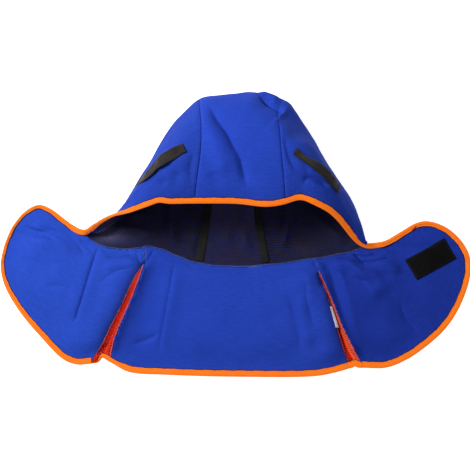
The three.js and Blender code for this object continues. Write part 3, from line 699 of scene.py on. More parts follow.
def addKnots(piece, knot):
    layer = piece.data.attributes.new("knot", "FLOAT", "POINT")
    layer.data.foreach_set("value", np.asarray(knot, np.float32))


lining = {
    "gap": 2.3, "pitch": 3.0, "hole": 0.42, "from": 0.02, "to": 0.997,
    "caught": {"left": 1, "middle": 0, "right": 0},
    "reach": {"left": (0.93, 1.028), "middle": (1, 1), "right": (0.93, 0.99)},  # above and below
    "bright": [  # painted light on the knots: x, y, width, height, how much
        (-150, -1, 20, 10, 0.75), (-112, -2, 24, 9, 0.17), (120, 0, 30, 16, 0.14), (84, -20, 24, 10, 0.11),
    ],
    "folds": [
        ([(-74, 80), (-79, 25), (-73, -20)], 6, 8),
        ([(58, 70), (62, 20), (54, -28)], 7, 8),
        ([(-150, 2), (-124, 6), (-96, -6)], 6, 6),
        ([(-136, 18), (-108, 22), (-92, 10)], 7, 6),
        ([(84, 36), (106, 10), (136, -12)], 7, 7),
        ([(24, 50), (10, 12), (16, -30)], 7, 6),
        ([(-30, 56), (-8, 24), (-14, -24)], 7, 5),
        ([(-60, 40), (-48, 6), (-56, -26)], 6, 4),
    ],
    "sizes": {"left": (142, 330), "middle": (88, 400), "right": (128, 330)},
}


# How far the lining hangs off the cloth: it bags out below and sags above
def liningSlack(point, s):
    bag = foldLift(point[..., 0], point[..., 1], lining["folds"]) * ease(0.5, 0.62, s)
    return bag + 2.5 * ease(0.06, 0.2, s) * (1 - ease(0.3, 0.45, s))


def liningPoint(side, u, v):
    s = lining["from"] + (lining["to"] - lining["from"]) * v
    short, long = lining["reach"][side]
    t = panelPlace(side, u * (short + (long - short) * ease(0.2, 0.28, s)), s)
    point, normal = hoodSkin(s, t)
    loose = 0.8 + 1.4 * uneven(point, 22, 5)
    inward = lining["gap"] + np.maximum(liningSlack(point, s) + loose, 0) * ease(0, 0.05, 1 - v)
    caught = lining["caught"][side] * ease(0.86, 0.97, u)  # sewn to the cloth at the mouth's corner
    inward = inward * (1 - caught) + 1.5 * caught
    point = point - normal * inward[..., None]
    point[..., 2] = np.maximum(point[..., 2], 0.8)
    return point


def makeLining(side, node):
    across, along = lining["sizes"][side]
    points, faces, flat, knot = netMesh(lambda u, v: liningPoint(side, u, v), across, along,
                                        lining["pitch"], lining["hole"], 0.0)
    finish = "lining" if side == "middle" else "liningSide"
    piece = newPiece(side + "_lining_net", points, faces, finish, "net_navy", [node], flat)
    paintedLight = np.full(len(points), 0.1)
    for x, y, wide, tall, more in lining["bright"]:  # where the knots are painted brighter, as painted light
        paintedLight += more * np.exp(-((points[:, 0] - x) / wide) ** 2 - ((points[:, 1] - y) / tall) ** 2)
    addKnots(piece, knot * np.minimum(paintedLight, 1))


for side, node in (("left", "lining_left"), ("middle", "lining_centre"), ("right", "lining_right")):
    makeLining(side, node)
print("lining net made")


liningTape = {"wide": 9.5, "thick": 0.8, "from": 0.03, "to": 0.993, "rows": 180}


def makeLiningTape(side):
    v, w = np.meshgrid(np.linspace(0, 1, liningTape["rows"]), np.linspace(-1, 1, 9), indexing="ij")
    s = liningTape["from"] + (liningTape["to"] - liningTape["from"]) * v
    t, gap = seamAt(s, side)
    t = t + gap / hood["seamGap"] * liningTape["wide"] * w
    point, normal = hoodSkin(s, t)
    slack = np.maximum(liningSlack(point, s) + 0.8, 0) * ease(0, 0.03, 1 - v)
    inward = lining["gap"] + 1.6 + slack - 0.35 * w ** 4
    inward = inward + 0.25 * np.sin(v * 260) * np.abs(w)  # puckered along its sewn edges
    grid = point - normal * inward[..., None]
    gridPiece(side + "_lining_tape", grid, "liningTape", "tape_black", ["lining_tape_" + side],
              liningTape["thick"], 1, True)


for side in ("left", "right"):
    makeLiningTape(side)
print("lining tapes made")


# Cape: the back panel and two wings, each stretched between four edges in plan

cape = {
    "rest": 2.6, "loft": 4, "calmFrom": 10, "calmTo": 34, "thick": 1.2, "seamBelow": 0.4,
    "wingGrid": (184, 132), "backGrid": (160, 96), "waves": ((0.9, 44, 3), (0.4, 16, 4)),
    "room": (-228, -38, 31, 2.4),  # x, y, reach and height of the room for the loop tape below
    "leftRim": [(-180, 2), (-191, 6), (-205, 16), (-222, 29), (-237, 34.5), (-252, 27), (-267, 9), (-277, -15),
                (-281, -38), (-277, -60), (-260, -91), (-232, -125), (-206, -151), (-190, -157), (-173, -156)],
    "rightRim": [(156, -13.8), (166, -12.4), (180, -9.4), (199, 1.5), (217, 12), (230, 14.5), (250, 8.5), (268, -6.5),
                 (279, -25), (281, -44), (275, -70), (262, -98), (247, -118), (223, -139), (203, -152), (180, -161),
                 (151, -161)],
    "hem": [(-148, -155.5), (-128, -166), (-84, -169.5), (5, -172), (97, -171), (126, -165), (135, -162)],
    "marks": {"left": (0.19, 0.46), "right": (0.2, 0.45)},
    "gussets": {  # each seam from the gusset's point to the hem
        "left": {
            "topX": -107, "start": 0.13,
            "wing": [(-110, -38), (-120, -51), (-128, -66), (-139, -91), (-150.5, -113), (-159, -131.5),
                     (-168, -146), (-173, -156)],
            "back": [(-110, -38), (-115.5, -55), (-124.5, -80), (-131.7, -97), (-140.7, -117), (-146, -131.5),
                     (-149.5, -147), (-148, -155.5)],
        },
        "right": {
            "topX": 97, "start": 0.085,
            "back": [(98, -42), (105, -62), (113.2, -86), (120.6, -114), (124.8, -128), (128.7, -140.5),
                     (133.5, -155), (135, -162)],
            "wing": [(98, -42), (107, -62), (117, -86), (127, -113), (134.5, -128), (142, -142.5),
                     (149, -154), (151, -161)],
        },
    },
    "neckShare": 8 / 15,
    "creases": [
        ([(-165, -15), (-177, -55), (-187, -89), (-194, -111)], 2.2, -4, {"fade": 0.1}),
        ([(-258, 12), (-236, 2), (-212, -12)], 2, -3),
        ([(-244, 17), (-222, 5), (-200, -5)], 2.2, -2),
        ([(-262, -28), (-240, -34), (-214, -50)], 2.8, -1.6),
        ([(-232, -66), (-212, -64), (-192, -72)], 2.8, -1.6),
        ([(-190, -8), (-178, -16), (-168, -28)], 2.4, -2.4),
        ([(-206, 2), (-192, -10), (-180, -28)], 3, -2.2),
        ([(-158, -32), (-140, -27), (-120, -24)], 2.6, -2.6),
        ([(-164, -62), (-146, -48), (-122, -42)], 3, -2),
        ([(-73, -33), (-82, -85), (-93, -147)], 1.8, -2.2, {"fade": 0.15}),
        ([(-128, -136), (-108, -130), (-90, -121)], 1.9, -2.2, {"fade": 0.3}),
        ([(60, -70), (72, -100), (80, -146)], 2.8, -2),
        ([(84, -52), (86, -84), (96, -120)], 3, -2),
        ([(128, -26), (146, -29), (170, -29), (196, -22)], 10, 4.5, {"pressed": False, "fade": 0.35}),
        ([(138, -25), (156, -27), (178, -23)], 1.7, -5.5),
        ([(132, -31), (158, -35), (190, -29)], 2, -5),
        ([(140, -22), (148, -30), (158, -42)], 1.8, -4),
        ([(136, -34), (160, -45), (196, -56)], 3.4, -2.6),
        ([(128, -36), (146, -54), (166, -78)], 4, -2.6),
        ([(112, -42), (132, -52), (164, -62)], 3.4, -2.4),
        ([(196, -78), (204, -104), (222, -124)], 4, -1.8),
        ([(-108, -14), (-109, -26), (-111, -44)], 1.8, -3),
        ([(-97, -17), (-101, -25), (-107, -35), (-112, -46)], 2, -3.4, {"fade": 0.2}),
        ([(-120, -20), (-117, -30), (-113, -42)], 2, -2.2, {"fade": 0.2}),
        ([(94, -29), (96, -38), (100, -50), (106, -68)], 2.4, -5, {"fade": 0.2}),
    ],
    "folds": [
        ([(-166, -15), (-180, -60), (-197, -112)], 14, 3.5),
        ([(-228, 4), (-212, -8), (-198, -26)], 5, 1.4),
        ([(-258, -6), (-232, -22), (-206, -44)], 7, -1.2),
        ([(-160, -44), (-140, -36), (-118, -34)], 6, 1.6),
        ([(-232, -20), (-222, -70)], 42, 4.5, {"fade": 0}),
        ([(-73, -33), (-82, -85), (-93, -147)], 12, 2.6),
        ([(-124, -132), (-91, -123)], 4, -0.6),
        ([(76, -74), (80, -105), (90, -144)], 9, 3),
        ([(68, -78), (72, -110), (82, -146)], 5, -1.5),
        ([(-40, -100), (40, -105)], 45, 3, {"fade": 0}),
        ([(131, -24), (150, -52), (172, -82)], 8, 3),
        ([(140, -20), (166, -40), (186, -66)], 6, -2),
        ([(160, -22), (180, -36), (200, -50)], 6, 2.4),
        ([(116, -62), (160, -50), (214, -38)], 46, 12, {"lean": -0.42, "fade": (0.15, 0.5)}),
        ([(118, -44), (140, -58), (176, -66)], 9, -3),
        ([(170, -70), (196, -92), (206, -122)], 16, -2.5),
        ([(100, -34), (101, -50)], 5, 3),
        ([(90, -34), (96, -60), (104, -84)], 8, -2),
    ],
}


rims = {"left": edgeCurve(cape["leftRim"]), "right": edgeCurve(cape["rightRim"])}
hemCurve = edgeCurve(cape["hem"])
boundEdge = np.vstack([curve(np.linspace(0, 1, 120)) for curve in (rims["left"], rims["right"], hemCurve)])


feet = {"left": ("wing", "back"), "right": ("back", "wing")}  # the panels to the left and right of each gusset


def neckSeam(x):
    return neckAt(x) - cape["seamBelow"]


def gussetLine(side, foot):
    gusset = cape["gussets"][side]
    return [(gusset["topX"], float(neckSeam(gusset["topX"]))), *gusset[foot]]


def fromEdge(x, y):
    best = np.full(np.shape(x), 1e9)
    for px, py in boundEdge:
        best = np.minimum(best, (x - px) ** 2 + (y - py) ** 2)
    return np.sqrt(best)


# Beside each gusset the cloth on its left rolls down to the seam, and the cloth on its right stands up at the seam
beside = {"rollHigh": 10, "rollWide": 10, "rollReach": 36, "standHigh": 12, "standWide": 10}


def besideLift(x, y):
    lift = np.zeros(np.shape(x))
    for side, (leftFoot, rightFoot) in feet.items():
        away, share = alongLine(x, y, gussetLine(side, leftFoot))
        onLeft, away = np.where(away <= 0, 1.0, 0.0), np.abs(away)
        roll = (1 - np.exp(-away / beside["rollWide"])) * np.exp(-(away / beside["rollReach"]) ** 2)
        lift += beside["rollHigh"] * ease(0, 0.18, share) * roll * onLeft
        away, share = alongLine(x, y, gussetLine(side, rightFoot))
        onRight, away = np.where(away > 0, 1.0, 0.0), np.abs(away)
        lift += beside["standHigh"] * ease(0, 0.18, share) * np.exp(-away / beside["standWide"]) * onRight
    return lift


def capeLift(x, y):
    away = fromEdge(x, y)
    calm = ease(cape["calmFrom"], cape["calmTo"], away)
    seam = np.abs(y - neckSeam(x))
    settle = 0.9 * np.exp(-(seam / 4) ** 2)  # pulled down by the neck seam
    lift = foldLift(x, y, cape["folds"]) * calm * ease(0, 10, seam)
    lift = lift + foldLift(x, y, cape["creases"], True) * ease(6, 13, away) * ease(0, 4, seam)
    lift = lift + besideLift(x, y) * ease(2, 26, away) * ease(3, 22, seam)
    points = np.stack([x, y, np.zeros(np.shape(x))], -1)
    lift = lift + waveLift(points, cape["waves"]) * ease(6, 24, away)
    pucker = 0.3 * np.sin(x * 0.6 + y * 0.5 + 2 * np.sin(x * 0.09 - y * 0.07))
    lift = lift + pucker * np.exp(-np.maximum(away - 9, 0) / 6) * ease(7, 10, away)
    lift = lift + cape["loft"] * ease(4, 52, away) * ease(1, 14, seam)
    x0, y0, reach, high = cape["room"]
    room = high * (1 - ease(reach, reach * 1.5, np.hypot(x - x0, y - y0)))
    return np.maximum(cape["rest"] - settle + lift, 1.0 + room)


def stretched(u, v, top, bottom, start, end):
    ku, kv = u[..., None], v[..., None]
    zero, one = np.zeros(1), np.ones(1)
    return (top(u) * (1 - kv) + bottom(u) * kv + start(v) * (1 - ku) + end(v) * ku
            - top(zero) * (1 - ku) * (1 - kv) - top(one) * ku * (1 - kv)
            - bottom(zero) * (1 - ku) * kv - bottom(one) * ku * kv)


def capeGrid(columns, rows, top, bottom, start, end):
    u, v = shareGrid(columns, rows)
    plan = stretched(u, v, top, bottom, start, end)
    return np.concatenate([plan, capeLift(plan[..., 0], plan[..., 1])[..., None]], -1)


def wingGrid(side):
    rim, (tip, outer) = rims[side], cape["marks"][side]
    edge = polyline(gussetLine(side, "wing"))
    corner = rim(np.zeros(1))[0]
    topX, neckShare = cape["gussets"][side]["topX"], cape["neckShare"]

    def top(u):
        x = topX + (corner[0] - topX) * np.minimum(u / neckShare, 1)
        neck = np.stack([x, neckSeam(x)], -1)
        front = rim(np.clip((u - neckShare) / (1 - neckShare), 0, 1) * tip)
        return np.where((u < neckShare)[..., None], neck, front)

    return capeGrid(*cape["wingGrid"], top, lambda u: rim(1 - u * (1 - outer)), edge,
                    lambda v: rim(tip + v * (outer - tip)))


def backTop(u):
    first, last = (cape["gussets"][side]["topX"] for side in ("left", "right"))
    x = first + (last - first) * u
    return np.stack([x, neckSeam(x)], -1)


backSides = [polyline(gussetLine(side, "back")) for side in ("left", "right")]
backGrid = capeGrid(*cape["backGrid"], backTop, hemCurve, *backSides)
gridPiece("back_cloth", backGrid, "clothBack", "cloth_blue", ["back_drape"], cape["thick"], 0, True)
for side, finish in (("left", "cloth"), ("right", "clothRight")):
    gridPiece(side + "_wing_cloth", wingGrid(side), finish, "cloth_blue", ["wing_" + side],
              cape["thick"], 0, side == "right")
print("cape made")


# Gussets: red net sunk between the two panels, its hem drawn up toward the neck

gussetNet = {
    "size": (26, 128), "pitch": 3.0, "hole": 0.5,
    "underSize": (25, 126), "underHole": 0.03, "under": 0.8,  # a closer-meshed sheet under the net, dark red as painted shade seen through its holes
    "deep": {"left": 8, "right": 12}, "valley": {"left": 0.56, "right": 0.42}, "inset": -0.3, "hemShort": 0.975,
    "lap": {"left": 0.03, "right": 0}, "lapHigh": 2.6,  # the left wall laps over its hem tape
    "lit": {"left": 0.15, "right": 0.9},  # painted light on its right wall, how much
    "pleats": {"left": (3.2, 0.3), "right": (2.2, 0.25)},  # how many bands of painted light and shade stand for its pleats, and how clear
    "hemAt": {"left": [0, 0.3, 0.38, 0.48, 0.6, 0.8, 1], "right": [0, 0.35, 0.5, 0.62, 0.8, 0.9, 1]},
    "hemDrawn": {"left": [0, 1, 3, 7.5, 6.5, 3, 0], "right": [0, 1, 3, 1, 0, 0, 0]},  # toward the neck
}


def gussetPoint(side, a, v):
    gusset = cape["gussets"][side]
    share = gusset["start"] + (1 - gusset["start"]) * np.minimum(v, 1)
    one, two = (polyline(gussetLine(side, foot))(share) for foot in feet[side])
    wide = np.linalg.norm(two - one, axis=-1)
    inset = gussetNet["inset"] / np.maximum(wide, 1)
    k = inset + (1 - 2 * inset) * a
    plan = one * (1 - k[..., None]) + two * k[..., None]
    step = 0.6
    low = capeLift(one[..., 0] - step, one[..., 1])
    high = capeLift(two[..., 0] + step, two[..., 1])
    valley = gussetNet["valley"][side]
    fold = np.where(a < valley, a / valley, (1 - a) / (1 - valley))
    sunk = gussetNet["deep"][side] * np.clip(fold, 0, 1) ** 0.9 * ease(0, 0.35, v)
    z = np.maximum(low * (1 - a) + high * a - sunk, 1.0 + 0.5 * (1 - fold))
    drawn = np.interp(a, gussetNet["hemAt"][side], gussetNet["hemDrawn"][side])
    y = plan[..., 1] + drawn * ease(0.75, 1, v) - 130 * np.maximum(v - 1, 0)
    return np.stack([plan[..., 0], y, z], -1)


def lappedNet(side, u, v):
    over = 1 - ease(0.26, 0.36, u)
    point = gussetPoint(side, u, v * (gussetNet["hemShort"] + gussetNet["lap"][side] * over))
    if gussetNet["lap"][side]:
        point[..., 2] += gussetNet["lapHigh"] * ease(0.9, 0.96, v) * over
    return point


def makeGusset(side):
    def surface(u, v):
        return lappedNet(side, u, v)

    name, (wide, long) = side + "_gusset_net", gussetNet["size"]
    points, faces, flat, knot = netMesh(surface, wide, long, gussetNet["pitch"], gussetNet["hole"])
    piece = newPiece(name, points, faces, "gusset", "net_red", ["gusset_" + side], flat)
    across, down = flat[:, 0] / wide, flat[:, 1] / long
    # knot glints, painted light on the right wall and painted pleat bands, all mixed toward the knot colour
    lit = gussetNet["lit"][side] * (ease(0, 0.12, across - gussetNet["valley"][side]) * ease(0, 0.5, down))
    count, clear = gussetNet["pleats"][side]
    pleat = clear * (0.5 + 0.5 * np.sin(across * count * 2 * math.pi))
    addKnots(piece, np.clip(knot * 0.7 + lit + pleat, 0, 1))
    points, faces, flat, knot = netMesh(surface, *gussetNet["underSize"], gussetNet["pitch"], gussetNet["underHole"])
    points[:, 2] = np.maximum(points[:, 2] - gussetNet["under"], 0.2)
    under = newPiece(name + "_under", points, faces, "gussetShade", "net_red", (), flat)
    addKnots(under, knot)


for side in ("left", "right"):
    makeGusset(side)
print("gussets made")


# Binding: a folded tape round the edges, sewn through

bind = {
    "wingAt": [0, 0.1, 0.19, 0.3, 0.46, 0.6, 0.75, 1],
    "leftWingLeg": [4.2, 4.2, 3.3, 1.9, 2.2, 4.0, 4.9, 5.2],
    "rightWingLeg": [4.8, 5.0, 4.6, 4.6, 4.8, 5.2, 5.6, 5.6],
    "lipAt": [-1, -0.75, -0.5, -0.2, 0.3, 0.6, 0.85, 1],
    "lipLeg": [3.6, 3.8, 5.0, 5.7, 5.7, 5.4, 5.2, 5.0],
    "hemLeg": 5.6, "hemLegLeft": 1.6, "hemLegBack": 3.8, "half": 0.75, "thick": 0.85, "step": 1.8, "clear": 0.15,
    "pitch": 3.1, "stitch": 2.2, "thread": 0.26, "edgeThread": 0.52,
    "sewnAt": ((3, 1), (18, -1)), "edgeAt": ((1, 1), (20, -1)),  # points round the section, and which face
    "wingFrom": 12, "lipFrom": 9, "flatter": 1.0, "outward": 2.2,
}


def bindingOutline(half, leg):
    top = half + bind["thick"]
    zero = np.zeros_like(half)
    outer = [(leg, half + 0.1), (leg + 0.15, half + 0.5), (leg - 0.25, top), (leg - 1.4, top - 0.28),
             (leg - 2.6, top + 0.02), (leg * 0.5, top + 0.18), (leg * 0.25, top + 0.12), (zero + 0.4, top)]
    arc = [(-top * math.cos(a), top * math.sin(a)) for a in np.radians([65, 40, 15, -15, -40, -65])]
    inner = [(leg - 0.1, -half), (zero + 0.8, -half), (zero - 0.2, zero - half * 0.5), (zero - 0.2, half * 0.5),
             (zero + 0.8, half), (leg - 0.1, half)]
    lower = [(x, -y) for x, y in reversed(outer)]
    return np.stack([np.stack(np.broadcast_arrays(x, y), -1) for x, y in outer + arc + lower + inner], 1)


# A bound edge in plan: its points at rest height, and the way into the cloth
def flatEdge(plan, turn=1):
    run = unit(np.gradient(plan, axis=0))
    edge = np.column_stack([plan, np.full(len(plan), cape["rest"])])
    return edge, np.column_stack([-run[:, 1] * turn, run[:, 0] * turn, np.zeros(len(plan))])


def wingStations(side):
    share = np.linspace(0, 1, 340)
    edge, inward = flatEdge(rims[side](share), 1 if side == "left" else -1)
    return edge, inward, np.interp(share, bind["wingAt"], bind[side + "WingLeg"])


def lipStations():
    t = np.linspace(-hood["reachLeft"], hood["reachRight"], 520)
    zero = np.zeros(len(t))
    point, across, back, normal = hoodFrame(zero, t)
    inward = hoodPoint(zero + 0.035, t) - point
    inward = unit(inward - across * dot(inward, across))
    normal = unit(normal - inward * dot(normal, inward))
    edge = point - normal * hood["thick"] / 2
    level = unit(inward - toCamera * dot(inward, toCamera))
    turned = ease(0.4, 0.8, t)[:, None]  # its right part rolls outward and lies flatter
    inward = unit(inward * (1 - bind["flatter"] * turned) + level * bind["flatter"] * turned)
    return edge - inward * bind["outward"] * turned, inward, np.interp(t, bind["lipAt"], bind["lipLeg"])


def frontStations():
    def clear(part, end, gap):
        return np.linalg.norm(part[0] - part[0][end], axis=1) > gap

    left, right, lip = wingStations("left"), wingStations("right"), lipStations()
    keep = (clear(left, 0, bind["wingFrom"]), clear(right, 0, bind["wingFrom"]),
            clear(lip, 0, bind["lipFrom"]) & clear(lip, -1, bind["lipFrom"]))
    return [[values[kept] for values in part] for part, kept in zip((left, right, lip), keep)]


def makeBinding(name, edge, inward, leg, node):
    read, total = lineReader(edge, np.column_stack([edge, inward, leg]))
    at = np.linspace(0, total, max(8, int(total / bind["step"])))
    edge, inward, leg = np.split(read(at), (3, 6), axis=1)
    run = unit(np.gradient(edge, axis=0))
    inward = unit(inward - run * dot(inward, run))
    normal = np.cross(run, inward)
    leg = leg[:, 0] + 0.2 * np.sin(at * 0.31) + 0.12 * np.sin(at * 0.83 + 1)
    outline = bindingOutline(np.full(len(at), bind["half"]), leg)
    wave = (0.16 * np.sin(at * 1.9 + np.sin(at * 0.3)))[:, None]  # its legs pucker along the stitches
    wave = wave * np.sign(outline[..., 1]) * ease(1, 5, outline[..., 0])
    section = (edge[:, None] + inward[:, None] * outline[..., :1]
               + normal[:, None] * (outline[..., 1:] + wave[..., None]))
    section[..., 2] = np.maximum(section[..., 2], bind["clear"])
    closed = np.concatenate([section, section[:, :1]], 1)
    newPiece(name, closed, sweptFaces(*closed.shape[:2], True), "binding", "binding_orange", [node],
             spread(at, runLength(closed[0])))
    rows = [stitchRow(section[:, index] + normal * face * 0.05, normal * face, bind["pitch"], bind["stitch"],
                      bind["thread"], 1.0) for index, face in bind["sewnAt"]]
    newPiece(name + "_stitches", *joined(rows), "orangeThread", "binding_orange")
    rows = [threadAlong((section[:, index] + inward * 0.3 - normal * face * 0.25)[3:-3], bind["edgeThread"])
            for index, face in bind["edgeAt"]]  # a navy thread at the sewn-in edge of each leg, partly stitching and partly painted shade where the tape meets the cloth
    newPiece(name + "_edge_shade_thread", *joined(rows), "navyThread", "binding_orange")


cornerTape = {"left": 7, "right": 6.6, "lap": 9, "inset": 0.8, "slack": 1.3, "thick": 1.9, "thinner": 0.35}


# At a mouth corner the tape turns over, and a flat length of it laps both ends
def makeCornerTape(side, lip, wing):
    def ends(part, order):
        edge, inward, leg = (values[order] for values in part)
        run = unit(np.gradient(edge, axis=0))
        up = np.cross(run, inward)
        up = np.where(up @ toCamera < 0, -1, 1)[:, None] * up
        keep = np.linalg.norm(edge - edge[0], axis=1) < cornerTape["lap"]
        return (edge + inward * (leg[:, None] / 2 - cornerTape["inset"]))[keep], up[keep], run[keep]

    fromLip, lipUp, lipRun = ends(lip, slice(None, None, -1) if side == "right" else slice(None))
    fromWing, wingUp, wingRun = ends(wing, slice(None))
    a, b = fromLip[0], fromWing[0]
    span = cornerTape["slack"] * np.linalg.norm(b - a)
    start, end = -lipRun[0] * span, wingRun[0] * span
    k = np.linspace(0, 1, 18)[1:-1, None]
    centre = np.concatenate([fromLip[::-1], bentLine(a, b, start, end, k), fromWing])
    up = np.concatenate([lipUp[::-1], lipUp[0] * (1 - k) + wingUp[0] * k, wingUp])
    read, total = lineReader(centre, np.column_stack([centre, up]))
    at = np.linspace(0, total, 40)
    centre, up = np.split(read(at), 2, axis=1)
    smooth(centre, 6)
    smooth(up, 6)
    run = unit(np.gradient(centre, axis=0))
    aside = unit(np.cross(run, up))
    up = np.cross(aside, run)
    turn = np.linspace(0, 2 * math.pi, 21)
    flat = np.sign(np.cos(turn)) * np.abs(np.cos(turn)) ** 0.6
    tall = np.sign(np.sin(turn)) * np.abs(np.sin(turn)) ** 0.75
    less = cornerTape["thinner"] * (1 - ease(0, 0.12, at / at[-1]) * ease(0, 0.12, 1 - at / at[-1]))  # at its ends
    half, thick = cornerTape[side] / 2 - less, cornerTape["thick"] - less
    section = (centre[:, None] + aside[:, None] * (flat * half[:, None])[..., None]
               + up[:, None] * (tall * thick[:, None])[..., None])
    section[..., 2] = np.maximum(section[..., 2], bind["clear"])
    around = runLength(np.column_stack([flat * cornerTape[side] / 2, tall * cornerTape["thick"]]))
    faces = sweptFaces(len(at), len(turn), capsTurned=True)
    newPiece(side + "_corner_tape", section, faces, "binding", "binding_orange", (), spread(at, around))


frontLeft, frontRight, frontLip = frontStations()
makeBinding("left_wing_binding", *frontLeft, "binding_wing_left")
makeBinding("lip_binding", *frontLip, "binding_lip")
makeBinding("right_wing_binding", *frontRight, "binding_wing_right")
makeCornerTape("left", frontLip, frontLeft)
makeCornerTape("right", frontLip, frontRight)


def hemStations():
    a = np.linspace(0.03, 0.97, 60)
    ones = np.ones(len(a))
    leftEdge, rightEdge = gussetPoint("left", a, ones), gussetPoint("right", a, ones)
    leftIn = unit(gussetPoint("left", a, ones * 0.93) - leftEdge)
    rightIn = unit(gussetPoint("right", a, ones * 0.93) - rightEdge)
    back, backIn = flatEdge(hemCurve(np.linspace(0.012, 0.988, 220)))
    rightEdge, rightIn = rightEdge[a < 0.9], rightIn[a < 0.9]
    over = [-3, -5, -7]  # its end laps the right wing's tape
    edge = np.concatenate([frontLeft[0][-1:], leftEdge, back, rightEdge, frontRight[0][over]])
    inward = unit(np.concatenate([frontLeft[1][-1:], leftIn, backIn, rightIn, frontRight[1][over]]))
    whole, first, middle = bind["hemLeg"], bind["hemLegLeft"], bind["hemLegBack"]
    leg = np.concatenate([[first], first + (middle - first) * ease(0.42, 0.56, a),
                          middle + (whole - middle) * ease(0, 0.06, np.linspace(0, 1, len(back))),
                          np.full(len(rightEdge) + len(over), whole + 0.2)])
    smooth(edge, 4)
    smooth(inward, 4)
    return edge, inward, leg


makeBinding("hem_binding", *hemStations(), "binding_hem")
joinTack = {"from": (211.4, 3.6, 4.4), "to": (216.8, 9, 4.4), "apart": 1.2, "thread": 0.4}  # over the tape's join
joinLine = np.linspace(joinTack["from"], joinTack["to"], 8)
joinThreads = joined([threadAlong(joinLine + (k, 0, 0), joinTack["thread"]) for k in (0, joinTack["apart"])])
newPiece("binding_join_tack", *joinThreads, "wineThread", "binding_orange")
print("bindings made")


# Webbing loops on the crown, sewn down at both ends

webbing = {  # paths as x and height in the picture, tilt in degrees from the camera
    "wide": 13, "thick": 1.4, "steps": 64, "bow": 4, "highest": 11,
    "tackAt": (2.2, 5.2), "tack": (1.5, 1.3, 0.28),  # from each end; pitch, length and radius of the thread
    "left": {"path": [(-60.4, 102.8), (-75.2, 94.8), (-87.2, 88.8), (-93.8, 83.4), (-101.6, 73.8), (-110.6, 66.6),
                      (-116, 63)],
             "tiltAt": [0, 0.42, 0.56, 1], "tilt": [12, 14, 56, 54], "sewn": 1},
    "right": {"path": [(70.1, 99.2), (81.1, 91.1), (92, 84), (102.9, 75.7), (113.8, 64.8), (123.5, 53.4)],
              "tiltAt": [0, 0.2, 0.5, 0.8, 1], "tilt": [-60, -56, -34, -34, -40], "sewn": 0.35},
}


def crownPlace(x, up):
    low, high = np.zeros(len(x)), np.full(len(x), 0.36)
    for _ in range(40):
        s = (low + high) / 2
        rib = ribAt(s)
        point = hoodPoint(s, (x - rib["midX"]) / halfRib(rib, x))
        short = point[..., 1] * toCamera[2] - point[..., 2] * toCamera[1] < up
        low, high = np.where(short, s, low), np.where(short, high, s)
    rib = ribAt(low)
    return low, (x - rib["midX"]) / halfRib(rib, x)


def makeStrap(side):
    strap, name = webbing[side], side + "_strap_webbing"
    k = np.linspace(0, 1, webbing["steps"])
    path = edgeCurve(strap["path"])(k)
    point, skinNormal = hoodSkin(*crownPlace(path[:, 0], path[:, 1]))
    run = unit(np.gradient(point, axis=0))
    level = unit(np.cross(run, toCamera))
    turn = np.radians(np.interp(k, strap["tiltAt"], strap["tilt"]))[:, None]
    smooth(turn, 4)
    aside = level * np.cos(turn) - np.cross(level, run) * np.sin(turn)
    sewn = strap["sewn"] * (1 - ease(0.06, 0.2, k)) + 1 - ease(0.06, 0.2, 1 - k)  # both ends lie on the cloth
    sewn = sewn[:, None]
    aside = unit(aside * (1 - sewn) + unit(np.cross(run, skinNormal)) * sewn)
    facing = np.maximum(dot(skinNormal, toCamera), 0.3)
    clear = (0.4 + webbing["wide"] / 2 * np.abs(dot(aside, skinNormal))) / facing
    bow = webbing["bow"] * np.sin(math.pi * ease(0.1, 0.9, k))[:, None] ** 1.2
    lift = np.minimum(clear + bow, webbing["highest"])
    smooth(lift, 4)
    centre = point + toCamera * lift
    run = unit(np.gradient(centre, axis=0))
    aside = unit(aside - run * dot(aside, run))
    normal = np.cross(aside, run)
    half, thick = webbing["wide"] / 2, webbing["thick"]
    outline = [(-half + 0.6, 0), (0, -0.05), (half - 0.6, 0), (half, thick * 0.3), (half, thick * 0.7),
               (half - 0.6, thick), (half * 0.5, thick + 0.05), (0, thick + 0.1), (-half * 0.5, thick + 0.05),
               (-half + 0.6, thick), (-half, thick * 0.7), (-half, thick * 0.3)]
    outline = np.array(outline + outline[:1])
    section = centre[:, None] + aside[:, None] * outline[:, :1] + normal[:, None] * outline[:, 1:]
    places = spread(runLength(centre), runLength(outline))
    faces = sweptFaces(len(k), len(outline))
    newPiece(name, section, faces, "webbing", "webbing_black", ["strap_" + side], places)
    read, total = lineReader(centre, np.column_stack([centre, aside, normal]))
    w = np.linspace(-half + 0.8, half - 0.8, 30)[:, None]
    rows = []
    near, far = webbing["tackAt"]
    for place in (near, far, total - far, total - near):  # bars of thread across both ends
        at, across, up = np.split(read(place), 3)
        line = at + across * w + up * (thick + 0.12)
        rows.append(stitchRow(line, np.repeat(up[None], len(w), 0), *webbing["tack"]))
    newPiece(name + "_tacks", *joined(rows), "blackThread", "webbing_black")


for side in ("left", "right"):
    makeStrap(side)
print("webbing loops made")


# Closure patches

patches = {  # size, then how far its hooks or loops reach, how tall they are and how far they curl
    "hook": {"at": (234.4, -31), "long": 54, "wide": 28, "turn": 0.52, "thick": 1.1, "pitch": 1.5, "border": 2.6,
             "reach": 0.62, "tall": 1.35, "curl": 0.72},
    "loop": {"at": (-228, -38), "long": 54, "wide": 28, "turn": -0.5, "thick": 1.0, "pitch": 1.5, "border": 2.4,
             "reach": 0.9, "tall": 1.0, "curl": 1.0},
}
patchSeam = {"inset": 1.3, "thread": (2.9, 2.1, 0.24)}  # pitch, length and radius of the thread


def patchPlan(patch, along, aside):
    c, s = math.cos(patch["turn"]), math.sin(patch["turn"])
    return patch["at"][0] + along * c - aside * s, patch["at"][1] + along * s + aside * c


